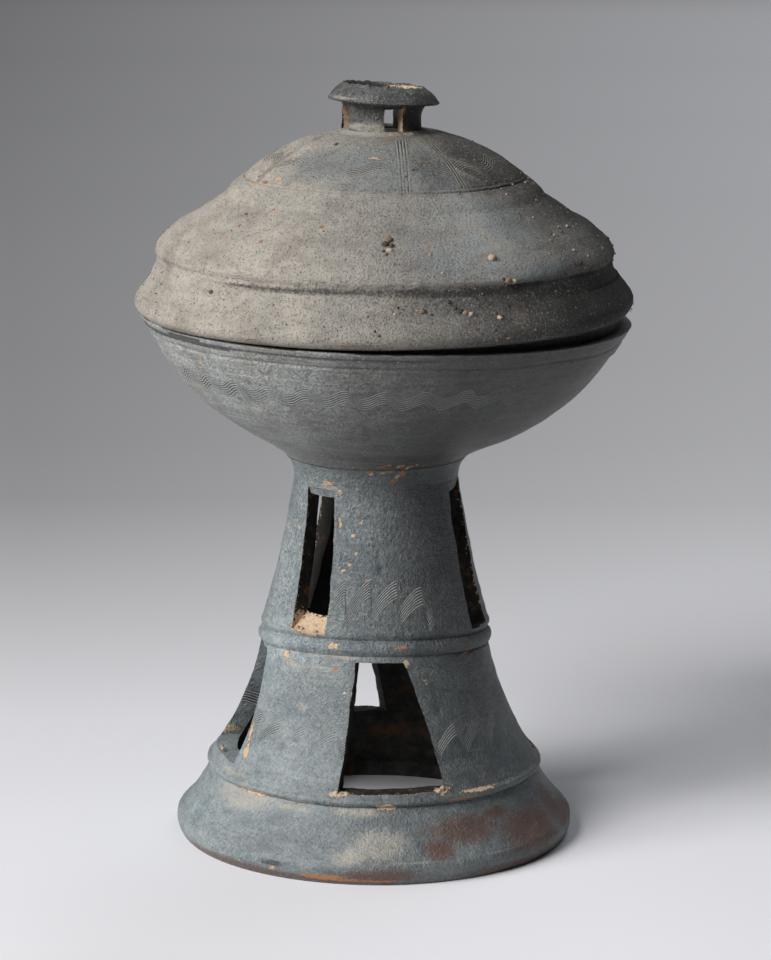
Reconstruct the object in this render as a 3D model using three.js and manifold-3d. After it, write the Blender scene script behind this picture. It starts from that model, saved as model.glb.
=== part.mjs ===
// A lidded pedestal dish of thrown stoneware: pierced pedestal, shallow bowl, domed lid and pierced knob.
// Millimetres, +Z up. The origin is on the ground under the axis of the lid.
// Azimuths are in degrees, 0 towards -Y (the front) and growing towards +X.
// A rise or a drop is a height above or below the named part of the pot.
import * as THREE from "three";
import { mergeVertices } from "three/addons/utils/BufferGeometryUtils.js";
import Module from "manifold-3d";

const wasm = await Module();
wasm.setup();

// Facets round each turned piece.
const POT_SEGMENTS = 48;
const KNOB_SEGMENTS = 32;

// Heights of the four thrown sections, each from its own base.
const PEDESTAL_HEIGHT = 124.9;
const LEDGE_RISE = 47.2;
const LID_RISE = 56;
const KNOB_RISE = 15.2;

// The sections were luted by eye, so each one stands a little off the axis of the lid.
const PEDESTAL_SHIFT = -2.2;
const BOWL_SHIFT = 0.6;
const KNOB_SHIFT = -1.3;

// Foot: a flat ring to stand on, a rolled lip and a hollow flare up to the lower cordon.
const FOOT_RADIUS = 64.2;
const FOOT_LIP_RISE = 4.6;
const FOOT_LIP_ROLL = 2.1;
const FOOT_LIP_SHOULDER = 2.6;
const FOOT_LIP_SHOULDER_INSET = 0.5;
const FOOT_REST_WIDTH = 4.6;
const FOOT_FLARE_HOLLOW = 0.6;

// Pedestal walls: two hollow tiers, tapering from the lower cordon to the middle one and on to the neck.
const LOWER_CORDON_RADIUS = 53;
const LOWER_CORDON_HEIGHT = 23.6;
const LOWER_CORDON_PROUD = 1.3;
const LOWER_CORDON_UNDERCUT = 1.2;
const LOWER_CORDON_TOP = 1.8;
const LOWER_TIER_HOLLOW = 2;
const MIDDLE_CORDON_RADIUS = 36.5;
const MIDDLE_CORDON_HEIGHT = 67.6;
const MIDDLE_CORDON_PROUD = 0.9;
const MIDDLE_CORDON_UPPER_PROUD = 0.55;
const MIDDLE_CORDON_SPACING = 4.2;
const MIDDLE_CORDON_TAPER = 0.45;
const UPPER_TIER_HOLLOW = 0.9;
const NECK_RADIUS = 26.4;
const PEDESTAL_WALL = 5.5;

// The middle cordon was pressed on aslant: at the front it stands higher than at the back.
const MIDDLE_CORDON_LIFT = 3.7;

// Windows cut through the pedestal: the width at head and sill, how far the sill leans sideways, how far the
// knife was turned away from the axis, and how much higher than its neighbours each one was cut.
const UPPER_HEAD_DROP = 8;
const UPPER_SILL_RISE = 2.1;
const UPPER_WINDOWS = [
  { azimuth: -38, head: 11.3, sill: 13.3, lean: 3.4, slant: 0, raise: 0 },
  { azimuth: 70, head: 8.4, sill: 9.6, lean: -2.7, slant: 0, raise: 0.6 },
  { azimuth: 147, head: 10.6, sill: 12.4, lean: 1, slant: 0, raise: 0 },
  { azimuth: 227, head: 11, sill: 12.6, lean: 4.6, slant: 0, raise: 0.4 },
];
const LOWER_HEAD_DROP = 6.6;
const LOWER_SILL_RISE = 2.6;
const LOWER_WINDOWS = [
  { azimuth: 4.1, head: 15, sill: 31.8, lean: 6.7, slant: -17.5, raise: 0 },
  { azimuth: -80, head: 15.7, sill: 33.4, lean: 0, slant: 0, raise: 1.9 },
  { azimuth: 107, head: 15.4, sill: 33, lean: 1, slant: 0, raise: 0.3 },
  { azimuth: 197.5, head: 15.8, sill: 33.2, lean: -1.5, slant: 0, raise: 0 },
];

// Bowl: its heel springs from the neck and a full curve runs out to the corner of the rim.
const BOWL_HEEL_SPREAD = 9.1;
const BOWL_HEEL_RISE = 5.6;
const BOWL_FLOOR = 6;
const BOWL_FLOOR_RADIUS = 12.4;
const COLLAR_RADIUS = 69;
const COLLAR_RISE = 8;
const COLLAR_WALL = 3.6;
const COLLAR_EDGE = 1;
const LEDGE_WIDTH = 6.5;
const BEVEL_WIDTH = 2.5;
const BEVEL_HEIGHT = 2.7;

// Lid: the lip on the ledge, a hollow collar, a groove under the carination, the dome with its shoulder ring.
const LID_PLAY = 2;
const LID_SEAT_WIDTH = 4.8;
const LIP_OVERHANG = 2.7;
const LIP_RISE = 3.1;
const CARINATION_INSET = 6.2;
const CARINATION_RISE = 18.1;
const CARINATION_GROOVE = 0.7;
const CARINATION_GROOVE_DROP = 1.3;
const SHOULDER_INSET = 22.4;
const SHOULDER_DROP = 19.7;
const SHOULDER_RING_WIDTH = 5.1;
const SHOULDER_RING_HEIGHT = 5.1;
const KNOB_SEAT_MARGIN = 0.4;
const LID_WALL = 5;
const LID_HEADROOM = 1.6;

// Knob: a waisted tube with a sharp flange and a mouth that opens upwards.
const KNOB_RADIUS = 13;
const KNOB_WALL = 3.9;
const KNOB_WAIST = 0.4;
const FLANGE_OVERHANG = 4.1;
const FLANGE_UNDERSIDE_DROP = 5.7;
const FLANGE_EDGE_DROP = 4.3;
const FLANGE_EDGE = 0.8;
const FLANGE_CROWN = 0.2;
const MOUTH_RADIUS = 12.2;
const MOUTH_LIP = 0.7;
const MOUTH_DEPTH = 4.6;
const KNOB_HEAD_DROP = 6.8;
const KNOB_SILL_RISE = 1.7;
const KNOB_WINDOWS = [
  { azimuth: 17, head: 6.1, sill: 6.1, lean: 0, slant: 0, raise: 0 },
  { azimuth: -64, head: 6.1, sill: 6.1, lean: 0, slant: 0, raise: 0 },
  { azimuth: 97, head: 6, sill: 6, lean: 0, slant: 0, raise: 0 },
  { azimuth: 176, head: 6, sill: 6, lean: 0, slant: 0, raise: 0 },
];

// The clay rolls that close the two joins: how far each one climbs the wall and how far it spreads.
const PEDESTAL_LUTING_HEIGHT = 6.6;
const PEDESTAL_LUTING_WIDTH = 2.6;
const KNOB_LUTING_HEIGHT = 1.4;
const KNOB_LUTING_WIDTH = 2.2;
const KNOB_LUTING_HOLLOW = 0.3;

// Curves of the outlines: the slope at each end, in degrees, and its pull as a share of the curve's chord.
const FOOT_LIP_CURVE = { start: 25, startPull: 0.3, end: 90, endPull: 0.3, steps: 3 };
const LUTING_CURVE = { start: 84, startPull: 0.45, end: 48, endPull: 0.25, steps: 5 };
const HEEL_CURVE = { start: 44, startPull: 0.3, end: 25, endPull: 0.35, steps: 3 };
const BOWL_CURVE = { start: 25, startPull: 0.43, end: 62, endPull: 0.34, steps: 9 };
const BOWL_INNER_CURVE = { start: 4, startPull: 0.52, end: 74, endPull: 0.25, steps: 9 };
const LIP_CURVE = { start: 25, startPull: 0.35, end: 92, endPull: 0.35, steps: 3 };
const LID_COLLAR_CURVE = { start: 98, startPull: 0.25, end: 90, endPull: 0.35, steps: 5 };
const LID_SLOPE_CURVE = { start: 104, startPull: 0.16, end: 146, endPull: 0.3, steps: 6 };
const LID_CAP_CURVE = { start: 139, startPull: 0.33, end: 170, endPull: 0.33, steps: 6 };

// How far a window's block runs out from the axis, as a share of its tier's widest radius.
const KNIFE_REACH = 1.5;

// Levels and radii that follow from the sizes above.
const NECK_HEIGHT = PEDESTAL_HEIGHT - PEDESTAL_LUTING_HEIGHT;
const LEDGE = PEDESTAL_HEIGHT + LEDGE_RISE;
const COLLAR_TOP = LEDGE + COLLAR_RISE;
const BOWL_BASE_RADIUS = NECK_RADIUS + PEDESTAL_LUTING_WIDTH;
const BOWL_RADIUS = COLLAR_RADIUS + LEDGE_WIDTH + BEVEL_WIDTH;
const BOWL_CORNER = LEDGE - BEVEL_HEIGHT;
// The lid's inside clears the collar on the side towards which the bowl stands off the lid's axis.
const LID_INNER_RADIUS = COLLAR_RADIUS + Math.abs(BOWL_SHIFT) + LID_PLAY;
const LID_RADIUS = LID_INNER_RADIUS + LID_SEAT_WIDTH + LIP_OVERHANG;
const CARINATION_RADIUS = LID_RADIUS - CARINATION_INSET;
const CARINATION = LEDGE + CARINATION_RISE;
const KNOB_SEAT = LEDGE + LID_RISE;
// The flat seat carries the knob and its ring of luting clay wherever they stand off the lid's axis.
const KNOB_SEAT_RADIUS = KNOB_RADIUS + KNOB_LUTING_WIDTH + Math.abs(KNOB_SHIFT) + KNOB_SEAT_MARGIN;
const KNOB_TOP = KNOB_SEAT + KNOB_RISE;

const point = (radius, height) => new THREE.Vector2(radius, height);

// A curve between two points that bows sideways by the given distance at its middle.
function bowed(from, to, bow, steps) {
  const along = to.clone().sub(from).normalize();
  const middle = from.clone().add(to).multiplyScalar(0.5);
  const control = middle.add(point(-along.y, along.x).multiplyScalar(2 * bow));
  return new THREE.QuadraticBezierCurve(from, control, to).getPoints(steps);
}

// A curve that leaves one point and reaches another at the slopes of the named curve.
function swept(from, to, curve) {
  const heading = (degrees) => THREE.MathUtils.degToRad(degrees);
  const chord = from.distanceTo(to);
  const first = point(Math.cos(heading(curve.start)), Math.sin(heading(curve.start)));
  const second = point(Math.cos(heading(curve.end)), Math.sin(heading(curve.end)));
  first.multiplyScalar(chord * curve.startPull).add(from);
  second.multiplyScalar(-chord * curve.endPull).add(to);
  return new THREE.CubicBezierCurve(from, first, second, to).getPoints(curve.steps);
}

// Points of a wall moved inwards, to the left of the way they run, by its thickness.
function inside(points, wall) {
  return points.map((here, i) => {
    const before = points[Math.max(i - 1, 0)];
    const after = points[Math.min(i + 1, points.length - 1)];
    const along = after.clone().sub(before).normalize();
    return here.clone().add(point(-along.y, along.x).multiplyScalar(wall));
  });
}

// A surface turned about the Z axis from a closed outline, whose outer wall runs upwards.
function turned(outline, segments) {
  const geometry = new THREE.LatheGeometry([...outline, outline[0].clone()], segments);
  geometry.rotateX(Math.PI / 2);
  return geometry;
}

// Moves each vertex of a surface by the vector that the rule gives for its place.
function shifted(geometry, rule) {
  const places = geometry.getAttribute("position");
  const place = new THREE.Vector3();
  for (let i = 0; i < places.count; i += 1) {
    place.fromBufferAttribute(places, i);
    place.add(rule(place));
    places.setXYZ(i, place.x, place.y, place.z);
  }
  return geometry;
}

// The geometry as a solid for joining and cutting.
function solid(geometry) {
  const bare = geometry.clone();
  bare.deleteAttribute("normal");
  bare.deleteAttribute("uv");
  const merged = mergeVertices(bare, 1e-4);
  return new wasm.Manifold(
    new wasm.Mesh({
      numProp: 3,
      vertProperties: new Float32Array(merged.attributes.position.array),
      triVerts: new Uint32Array(merged.index.array),
    }),
  );
}

function mesh(name, made, material) {
  const shape = made.getMesh();
  const geometry = new THREE.BufferGeometry();
  geometry.setAttribute("position", new THREE.BufferAttribute(new Float32Array(shape.vertProperties), 3));
  geometry.setIndex(new THREE.BufferAttribute(new Uint32Array(shape.triVerts), 1));
  geometry.computeVertexNormals();
  const piece = new THREE.Mesh(geometry, material);
  piece.name = name;
  return piece;
}

// A straight-sided block, as the knife takes it out: it starts at the axis and slants about the wall.
function windowBlock(cut, bottom, top, wallRadius, widest) {
  const outline = new THREE.Shape([
    point((cut.lean - cut.sill) / 2, bottom),
    point((cut.lean + cut.sill) / 2, bottom),
    point((cut.head - cut.lean) / 2, top),
    point((-cut.head - cut.lean) / 2, top),
  ]);
  const geometry = new THREE.ExtrudeGeometry(outline, { depth: widest * KNIFE_REACH, bevelEnabled: false });
  geometry.rotateX(Math.PI / 2);
  geometry.translate(0, wallRadius, 0);
  geometry.rotateZ(THREE.MathUtils.degToRad(cut.slant));
  geometry.translate(0, -wallRadius, 0);
  geometry.rotateZ(THREE.MathUtils.degToRad(cut.azimuth));
  return solid(geometry);
}

// How far the aslant middle cordon stands above its mean height at an azimuth.
const cordonLift = (azimuth) => MIDDLE_CORDON_LIFT * Math.cos(THREE.MathUtils.degToRad(azimuth));

// The body without its windows, whose levels may depend on where each one is cut.
function pierced(body, cuts, levels, narrowest, widest) {
  const wallRadius = (narrowest + widest) / 2;
  return cuts.reduce((left, cut) => {
    const { sill, head } = levels(cut);
    return left.subtract(windowBlock(cut, sill + cut.raise, head + cut.raise, wallRadius, widest));
  }, body);
}

function lowerCordon() {
  return [
    point(LOWER_CORDON_RADIUS, LOWER_CORDON_HEIGHT - LOWER_CORDON_UNDERCUT),
    point(LOWER_CORDON_RADIUS + LOWER_CORDON_PROUD, LOWER_CORDON_HEIGHT),
    point(LOWER_CORDON_RADIUS, LOWER_CORDON_HEIGHT + LOWER_CORDON_TOP),
  ];
}

// Two rounded ridges with a groove between them. The upper one is softer.
function middleCordon() {
  const at = (steps, proud) =>
    point(
      MIDDLE_CORDON_RADIUS - MIDDLE_CORDON_TAPER * steps + proud,
      MIDDLE_CORDON_HEIGHT + MIDDLE_CORDON_SPACING * steps,
    );
  return [at(-1, 0), at(-0.5, MIDDLE_CORDON_PROUD), at(0, 0), at(0.5, MIDDLE_CORDON_UPPER_PROUD), at(1, 0)];
}

// The pedestal's walls rise and fall with the aslant cordon, fading out at the lower cordon and at the neck.
function cordonRule(place) {
  const { smoothstep } = THREE.MathUtils;
  const share =
    smoothstep(place.z, LOWER_CORDON_HEIGHT + LOWER_CORDON_TOP, MIDDLE_CORDON_HEIGHT) *
    (1 - smoothstep(place.z, MIDDLE_CORDON_HEIGHT, NECK_HEIGHT));
  return new THREE.Vector3(0, 0, (-place.y / MIDDLE_CORDON_RADIUS) * MIDDLE_CORDON_LIFT * share);
}

function pedestal() {
  const restOuter = FOOT_RADIUS - FOOT_LIP_ROLL;
  const restInner = restOuter - FOOT_REST_WIDTH;
  const widest = point(FOOT_RADIUS, FOOT_LIP_RISE);
  const lipTop = point(FOOT_RADIUS - FOOT_LIP_SHOULDER_INSET, FOOT_LIP_RISE + FOOT_LIP_SHOULDER);
  const lip = swept(point(restOuter, 0), widest, FOOT_LIP_CURVE);
  const low = lowerCordon();
  const middle = middleCordon();
  const neck = point(NECK_RADIUS, NECK_HEIGHT);
  const top = point(NECK_RADIUS, PEDESTAL_HEIGHT);
  const flare = bowed(lipTop, low[0], FOOT_FLARE_HOLLOW, 4).slice(0, -1);
  const lowerTier = bowed(low.at(-1), middle[0], LOWER_TIER_HOLLOW, 6).slice(1, -1);
  const upperTier = bowed(middle.at(-1), neck, UPPER_TIER_HOLLOW, 6).slice(1);
  const innerLow = inside([...flare, ...lowerTier], PEDESTAL_WALL);
  const innerHigh = inside([...upperTier, top], PEDESTAL_WALL);
  innerHigh.at(-1).y = PEDESTAL_HEIGHT;
  const outline = [
    point(restInner, 0),
    ...lip,
    ...flare,
    ...low,
    ...lowerTier,
    ...middle,
    ...upperTier,
    top,
    ...innerHigh.reverse(),
    ...innerLow.reverse(),
  ];
  let body = solid(shifted(turned(outline, POT_SEGMENTS), cordonRule));
  const upperLevels = (cut) => ({
    sill: MIDDLE_CORDON_HEIGHT + cordonLift(cut.azimuth) + UPPER_SILL_RISE,
    head: PEDESTAL_HEIGHT - UPPER_HEAD_DROP,
  });
  const lowerLevels = (cut) => ({
    sill: LOWER_CORDON_HEIGHT + LOWER_SILL_RISE,
    head: MIDDLE_CORDON_HEIGHT + cordonLift(cut.azimuth) - LOWER_HEAD_DROP,
  });
  body = pierced(body, UPPER_WINDOWS, upperLevels, NECK_RADIUS, MIDDLE_CORDON_RADIUS);
  body = pierced(body, LOWER_WINDOWS, lowerLevels, MIDDLE_CORDON_RADIUS, LOWER_CORDON_RADIUS);
  return body;
}

function pedestalLutingRing() {
  const foot = point(NECK_RADIUS, NECK_HEIGHT);
  const rim = point(BOWL_BASE_RADIUS, PEDESTAL_HEIGHT);
  const fillet = swept(foot, rim, LUTING_CURVE);
  return solid(turned([...fillet, point(NECK_RADIUS, PEDESTAL_HEIGHT)], POT_SEGMENTS));
}

// The bowl's base stays on the pedestal's axis and its heel leans over to the bowl's own.
function heelRule(place) {
  const upright = PEDESTAL_HEIGHT + 2 * BOWL_HEEL_RISE;
  const share = 1 - THREE.MathUtils.smoothstep(place.z, PEDESTAL_HEIGHT, upright);
  return new THREE.Vector3((PEDESTAL_SHIFT - BOWL_SHIFT) * share, 0, 0);
}

function bowl() {
  const base = point(BOWL_BASE_RADIUS, PEDESTAL_HEIGHT);
  const heel = point(BOWL_BASE_RADIUS + BOWL_HEEL_SPREAD, PEDESTAL_HEIGHT + BOWL_HEEL_RISE);
  const corner = point(BOWL_RADIUS, BOWL_CORNER);
  const floor = PEDESTAL_HEIGHT + BOWL_FLOOR;
  const collarInner = COLLAR_RADIUS - COLLAR_WALL;
  const inner = swept(point(BOWL_FLOOR_RADIUS, floor), point(collarInner, BOWL_CORNER), BOWL_INNER_CURVE);
  const outline = [
    point(0, PEDESTAL_HEIGHT),
    ...swept(base, heel, HEEL_CURVE),
    ...swept(heel, corner, BOWL_CURVE).slice(1),
    point(COLLAR_RADIUS + LEDGE_WIDTH, LEDGE),
    point(COLLAR_RADIUS, LEDGE),
    point(COLLAR_RADIUS, COLLAR_TOP - COLLAR_EDGE),
    point(COLLAR_RADIUS - COLLAR_EDGE, COLLAR_TOP),
    point(collarInner + COLLAR_EDGE, COLLAR_TOP),
    point(collarInner, COLLAR_TOP - COLLAR_EDGE),
    ...inner.reverse(),
    point(0, floor),
  ];
  return solid(shifted(turned(outline, POT_SEGMENTS), heelRule));
}

function lid() {
  const seatOuter = point(LID_INNER_RADIUS + LID_SEAT_WIDTH, LEDGE);
  const widest = point(LID_RADIUS, LEDGE + LIP_RISE);
  const edge = point(CARINATION_RADIUS, CARINATION);
  const groove = point(CARINATION_RADIUS - CARINATION_GROOVE, CARINATION - CARINATION_GROOVE_DROP);
  const shoulder = point(CARINATION_RADIUS - SHOULDER_INSET, KNOB_SEAT - SHOULDER_DROP);
  const ring = point(shoulder.x - SHOULDER_RING_WIDTH, shoulder.y + SHOULDER_RING_HEIGHT);
  const seat = point(KNOB_SEAT_RADIUS, KNOB_SEAT);
  const dome = [
    ...swept(edge, shoulder, LID_SLOPE_CURVE),
    ...swept(ring, seat, LID_CAP_CURVE),
  ];
  // The ceiling starts past the carination, whose corner is given on its own.
  const ceiling = inside(dome, LID_WALL).slice(2);
  const outline = [
    point(LID_INNER_RADIUS, LEDGE),
    ...swept(seatOuter, widest, LIP_CURVE),
    ...swept(widest, groove, LID_COLLAR_CURVE).slice(1),
    ...dome,
    point(0, KNOB_SEAT),
    point(0, KNOB_SEAT - LID_WALL),
    ...ceiling.reverse(),
    point(CARINATION_RADIUS - LID_WALL, CARINATION - LID_WALL),
    point(LID_INNER_RADIUS, COLLAR_TOP + LID_HEADROOM),
  ];
  return solid(turned(outline, POT_SEGMENTS));
}

function knob() {
  const bore = KNOB_RADIUS - KNOB_WALL;
  const underside = point(KNOB_RADIUS + KNOB_WAIST, KNOB_TOP - FLANGE_UNDERSIDE_DROP);
  const edge = point(KNOB_RADIUS + FLANGE_OVERHANG, KNOB_TOP - FLANGE_EDGE_DROP);
  const mouth = point(MOUTH_RADIUS + MOUTH_LIP, KNOB_TOP);
  const outline = [
    point(bore, KNOB_SEAT),
    ...bowed(point(KNOB_RADIUS, KNOB_SEAT), underside, KNOB_WAIST, 4),
    point(edge.x - FLANGE_EDGE, edge.y - FLANGE_EDGE),
    edge,
    ...bowed(point(edge.x, edge.y + FLANGE_EDGE), mouth, -FLANGE_CROWN, 2),
    point(MOUTH_RADIUS, KNOB_TOP),
    point(bore, KNOB_TOP - MOUTH_DEPTH),
  ];
  const levels = () => ({ sill: KNOB_SEAT + KNOB_SILL_RISE, head: KNOB_TOP - KNOB_HEAD_DROP });
  return pierced(solid(turned(outline, KNOB_SEGMENTS)), KNOB_WINDOWS, levels, KNOB_RADIUS, edge.x);
}

function knobLutingRing() {
  const spread = point(KNOB_RADIUS + KNOB_LUTING_WIDTH, KNOB_SEAT);
  const climb = point(KNOB_RADIUS, KNOB_SEAT + KNOB_LUTING_HEIGHT);
  const outline = [point(KNOB_RADIUS, KNOB_SEAT), ...bowed(spread, climb, KNOB_LUTING_HOLLOW, 3)];
  return solid(turned(outline, KNOB_SEGMENTS));
}

const stoneware = new THREE.MeshStandardMaterial({ color: 0x54595c, roughness: 0.82, metalness: 0 });
const sootedStoneware = new THREE.MeshStandardMaterial({ color: 0x4c5154, roughness: 0.8, metalness: 0 });
const ashStoneware = new THREE.MeshStandardMaterial({ color: 0x5f5851, roughness: 0.86, metalness: 0 });
const knobStoneware = new THREE.MeshStandardMaterial({ color: 0x4a4845, roughness: 0.84, metalness: 0 });
const lutingClay = new THREE.MeshStandardMaterial({ color: 0x565a5b, roughness: 0.88, metalness: 0 });
const knobLutingClay = new THREE.MeshStandardMaterial({ color: 0x504d49, roughness: 0.88, metalness: 0 });

// A group for pieces that share an axis, standing off the lid's axis by a shift along X.
function onAxis(shift, ...pieces) {
  const group = new THREE.Group();
  group.position.x = shift;
  group.add(...pieces);
  return group;
}

const dish = new THREE.Group();
dish.add(
  onAxis(
    PEDESTAL_SHIFT,
    mesh("pedestal", pedestal(), stoneware),
    mesh("pedestal_luting_ring", pedestalLutingRing(), lutingClay),
  ),
  onAxis(BOWL_SHIFT, mesh("bowl", bowl(), sootedStoneware)),
);

const cover = new THREE.Group();
cover.add(
  mesh("lid", lid(), ashStoneware),
  onAxis(
    KNOB_SHIFT,
    mesh("knob", knob(), knobStoneware),
    mesh("knob_luting_ring", knobLutingRing(), knobLutingClay),
  ),
);

const vessel = new THREE.Group();
vessel.add(dish, cover);

export default vessel;
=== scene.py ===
# A lidded pedestal dish of grey stoneware, thrown in sections, combed, pierced, and fired with ash and grit.
import math
import random

import bmesh
import bpy
import numpy as np
from mathutils import Matrix, Vector, noise


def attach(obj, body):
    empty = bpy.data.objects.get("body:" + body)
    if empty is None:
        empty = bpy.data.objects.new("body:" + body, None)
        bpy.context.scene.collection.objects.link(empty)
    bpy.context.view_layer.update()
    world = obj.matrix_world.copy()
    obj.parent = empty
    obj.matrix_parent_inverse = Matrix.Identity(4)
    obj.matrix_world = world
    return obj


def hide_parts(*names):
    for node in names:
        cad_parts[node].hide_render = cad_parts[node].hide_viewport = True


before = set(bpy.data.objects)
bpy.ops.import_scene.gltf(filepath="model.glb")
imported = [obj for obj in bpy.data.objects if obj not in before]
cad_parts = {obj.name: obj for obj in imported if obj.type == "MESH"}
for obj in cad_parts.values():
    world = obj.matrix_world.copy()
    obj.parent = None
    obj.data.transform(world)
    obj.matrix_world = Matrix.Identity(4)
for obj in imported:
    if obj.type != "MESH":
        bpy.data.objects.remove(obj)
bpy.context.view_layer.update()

# Lengths are in millimetres unless a comment says otherwise, and a height is above the ground.
# Azimuths are in degrees, 0 at the front and growing to the right.
MM = 0.001

# Axes of the sections along X, as the construction sets them off the lid's axis.
PEDESTAL_AXIS = -2.2
BOWL_AXIS = 0.6
LID_AXIS = 0
KNOB_AXIS = -1.3

# Levels at which the sections meet.
NECK = 118.3
PEDESTAL_TOP = 124.9
LEDGE = 172.1
KNOB_SEAT = 228.1

SPIN_STEPS = 60
# Edges that turn by more than this many degrees stay crisp.
CRISP_TURN = 48


class Value:
    """A number in a shader. Python arithmetic on it adds the Math nodes."""

    def __init__(self, finish, socket):
        self.finish = finish
        self.socket = socket

    def math(self, operation, *others):
        return self.finish.math(operation, self, *others)

    def __add__(self, other):
        return self.math("ADD", other)

    def __sub__(self, other):
        return self.math("SUBTRACT", other)

    def __mul__(self, other):
        return self.math("MULTIPLY", other)

    def __truediv__(self, other):
        return self.math("DIVIDE", other)

    def __rsub__(self, other):
        return self.finish.math("SUBTRACT", other, self)

    __radd__ = __add__
    __rmul__ = __mul__

    def clamped(self):
        return self.math("MAXIMUM", 0.0).math("MINIMUM", 1.0)

    def line(self, low, high, kind="LINEAR"):
        """0 at low and 1 at high, straight between them and level beyond them."""
        sockets = {"Value": self, "From Min": low, "From Max": high}
        made = self.finish.node("ShaderNodeMapRange", {"interpolation_type": kind}, sockets)
        return Value(self.finish, made.outputs["Result"])

    def step(self, low, high):
        """0 at low and 1 at high, with a soft step between them. Low may be the larger of the two."""
        return self.line(low, high, "SMOOTHSTEP")

    def graded(self, *stops):
        """A value that runs straight from stop to stop. Each stop is a place and the value there."""
        total = stops[0][1]
        for (low, before), (high, after) in zip(stops, stops[1:]):
            total = self.line(low, high) * (after - before) + total
        return total


class Finish:
    """A procedural material around one principled shader. Layers are laid over its base colour one by one."""

    def __init__(self, name, roughness, specular, base):
        self.material = bpy.data.materials.new(name)
        self.material.use_nodes = True
        self.tree = self.material.node_tree
        self.shader = next(n for n in self.tree.nodes if n.type == "BSDF_PRINCIPLED")
        self.place = self.node("ShaderNodeTexCoord").outputs["Object"]
        self.base = base
        self.roughness = roughness
        self.roughen(roughness)
        self.put(self.shader.inputs["Specular IOR Level"], specular)

    def node(self, kind, settings=None, sockets=None):
        made = self.tree.nodes.new(kind)
        for key, value in (settings or {}).items():
            setattr(made, key, value)
        for key, value in (sockets or {}).items():
            self.put(made.inputs[key], value)
        return made

    def put(self, socket, value):
        if isinstance(value, Value):
            value = value.socket
        if isinstance(value, bpy.types.NodeSocket):
            self.tree.links.new(value, socket)
        elif socket.type == "RGBA":
            socket.default_value = (*value, 1)
        else:
            socket.default_value = value

    def math(self, operation, *numbers):
        made = self.node("ShaderNodeMath", {"operation": operation}, dict(enumerate(numbers)))
        return Value(self, made.outputs[0])

    def stretched(self, x, y, z):
        """Object coordinates scaled along each axis, which draws a pattern out the other way."""
        made = self.node("ShaderNodeVectorMath", {"operation": "MULTIPLY"}, {0: self.place, 1: (x, y, z)})
        return made.outputs[0]

    def cloud(self, size, seed=0, detail=3.0, roughness=0.55, place=None):
        """Noise from 0 to 1 whose lumps are about the given size. Each seed gives another pattern."""
        sockets = {"Vector": place or self.place, "W": seed, "Scale": 1 / (size * MM)}
        sockets |= {"Detail": detail, "Roughness": roughness}
        made = self.node("ShaderNodeTexNoise", {"noise_dimensions": "4D"}, sockets)
        return Value(self, made.outputs["Fac"])

    def grains(self, size, seed, low, high):
        """Scattered round grains, 1 at their middles and 0 around them."""
        sockets = {"Vector": self.place, "W": seed, "Scale": 1 / (size * MM)}
        made = self.node("ShaderNodeTexVoronoi", {"voronoi_dimensions": "4D"}, sockets)
        return 1 - Value(self, made.outputs["Distance"]).step(low, high)

    def painted(self, name):
        made = self.node("ShaderNodeAttribute", {"attribute_name": name})
        return Value(self, made.outputs["Fac"])

    def along(self, axis):
        made = self.node("ShaderNodeSeparateXYZ", None, {0: self.place})
        return Value(self, made.outputs[axis]) * (1 / MM)

    def round_axis(self, axis):
        """The azimuth in degrees, the radius and the height of the shaded point about an axis."""
        x, y, z = self.along(0) - axis, self.along(1), self.along(2)
        return x.math("ARCTAN2", 0 - y) * (180 / math.pi), (x * x + y * y).math("SQRT"), z

    def mix(self, share, first, second, blend="MIX"):
        settings = {"data_type": "RGBA", "blend_type": blend}
        return self.node("ShaderNodeMix", settings, {"Factor": share, 6: first, 7: second}).outputs[2]

    def layer(self, share, colour):
        """Lays a colour over the base, as far as the share goes."""
        self.base = self.mix(share, self.base, colour)

    def clouded(self, colour, share, low, high, *cloud):
        """Lays a colour over the base where a cloud rises from low to high."""
        self.layer(self.cloud(*cloud).step(low, high) * share, colour)

    def tinted(self, colour):
        """Multiplies the base by a colour."""
        self.base = self.mix(1.0, self.base, colour, "MULTIPLY")

    def shade(self, level):
        """Makes the base darker or paler, by a level that is 1 where nothing changes."""
        self.tinted(self.node("ShaderNodeCombineColor", None, {0: level, 1: level, 2: level}).outputs[0])

    def roughen(self, roughness):
        self.put(self.shader.inputs["Roughness"], roughness)

    def done(self, relief=None):
        """The material, with its base colour and with fine relief in millimetres."""
        self.put(self.shader.inputs["Base Color"], self.base)
        if relief:
            made = self.node("ShaderNodeBump", None, {"Height": relief, "Strength": 1.0, "Distance": MM})
            self.put(self.shader.inputs["Normal"], made.outputs["Normal"])
        return self.material


FROST = (0.36, 0.375, 0.37)
CREAM = (0.62, 0.46, 0.31)
FRESH_BROWN = (0.36, 0.23, 0.14)
OCHRE = (0.4, 0.19, 0.085)
RED_BROWN = (0.125, 0.058, 0.04)
# Pale dust, also used for painted light and highlights.
PALE_DUST_AND_LIGHT = (0.45, 0.415, 0.355)
# Near black, also used for painted shade.
NEAR_BLACK = (0.02, 0.019, 0.018)
GROOVE_DARK = (0.03, 0.035, 0.038)
RIDGE_PALE = (0.43, 0.45, 0.44)
WORN_BROWN = (0.1, 0.095, 0.09)

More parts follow.
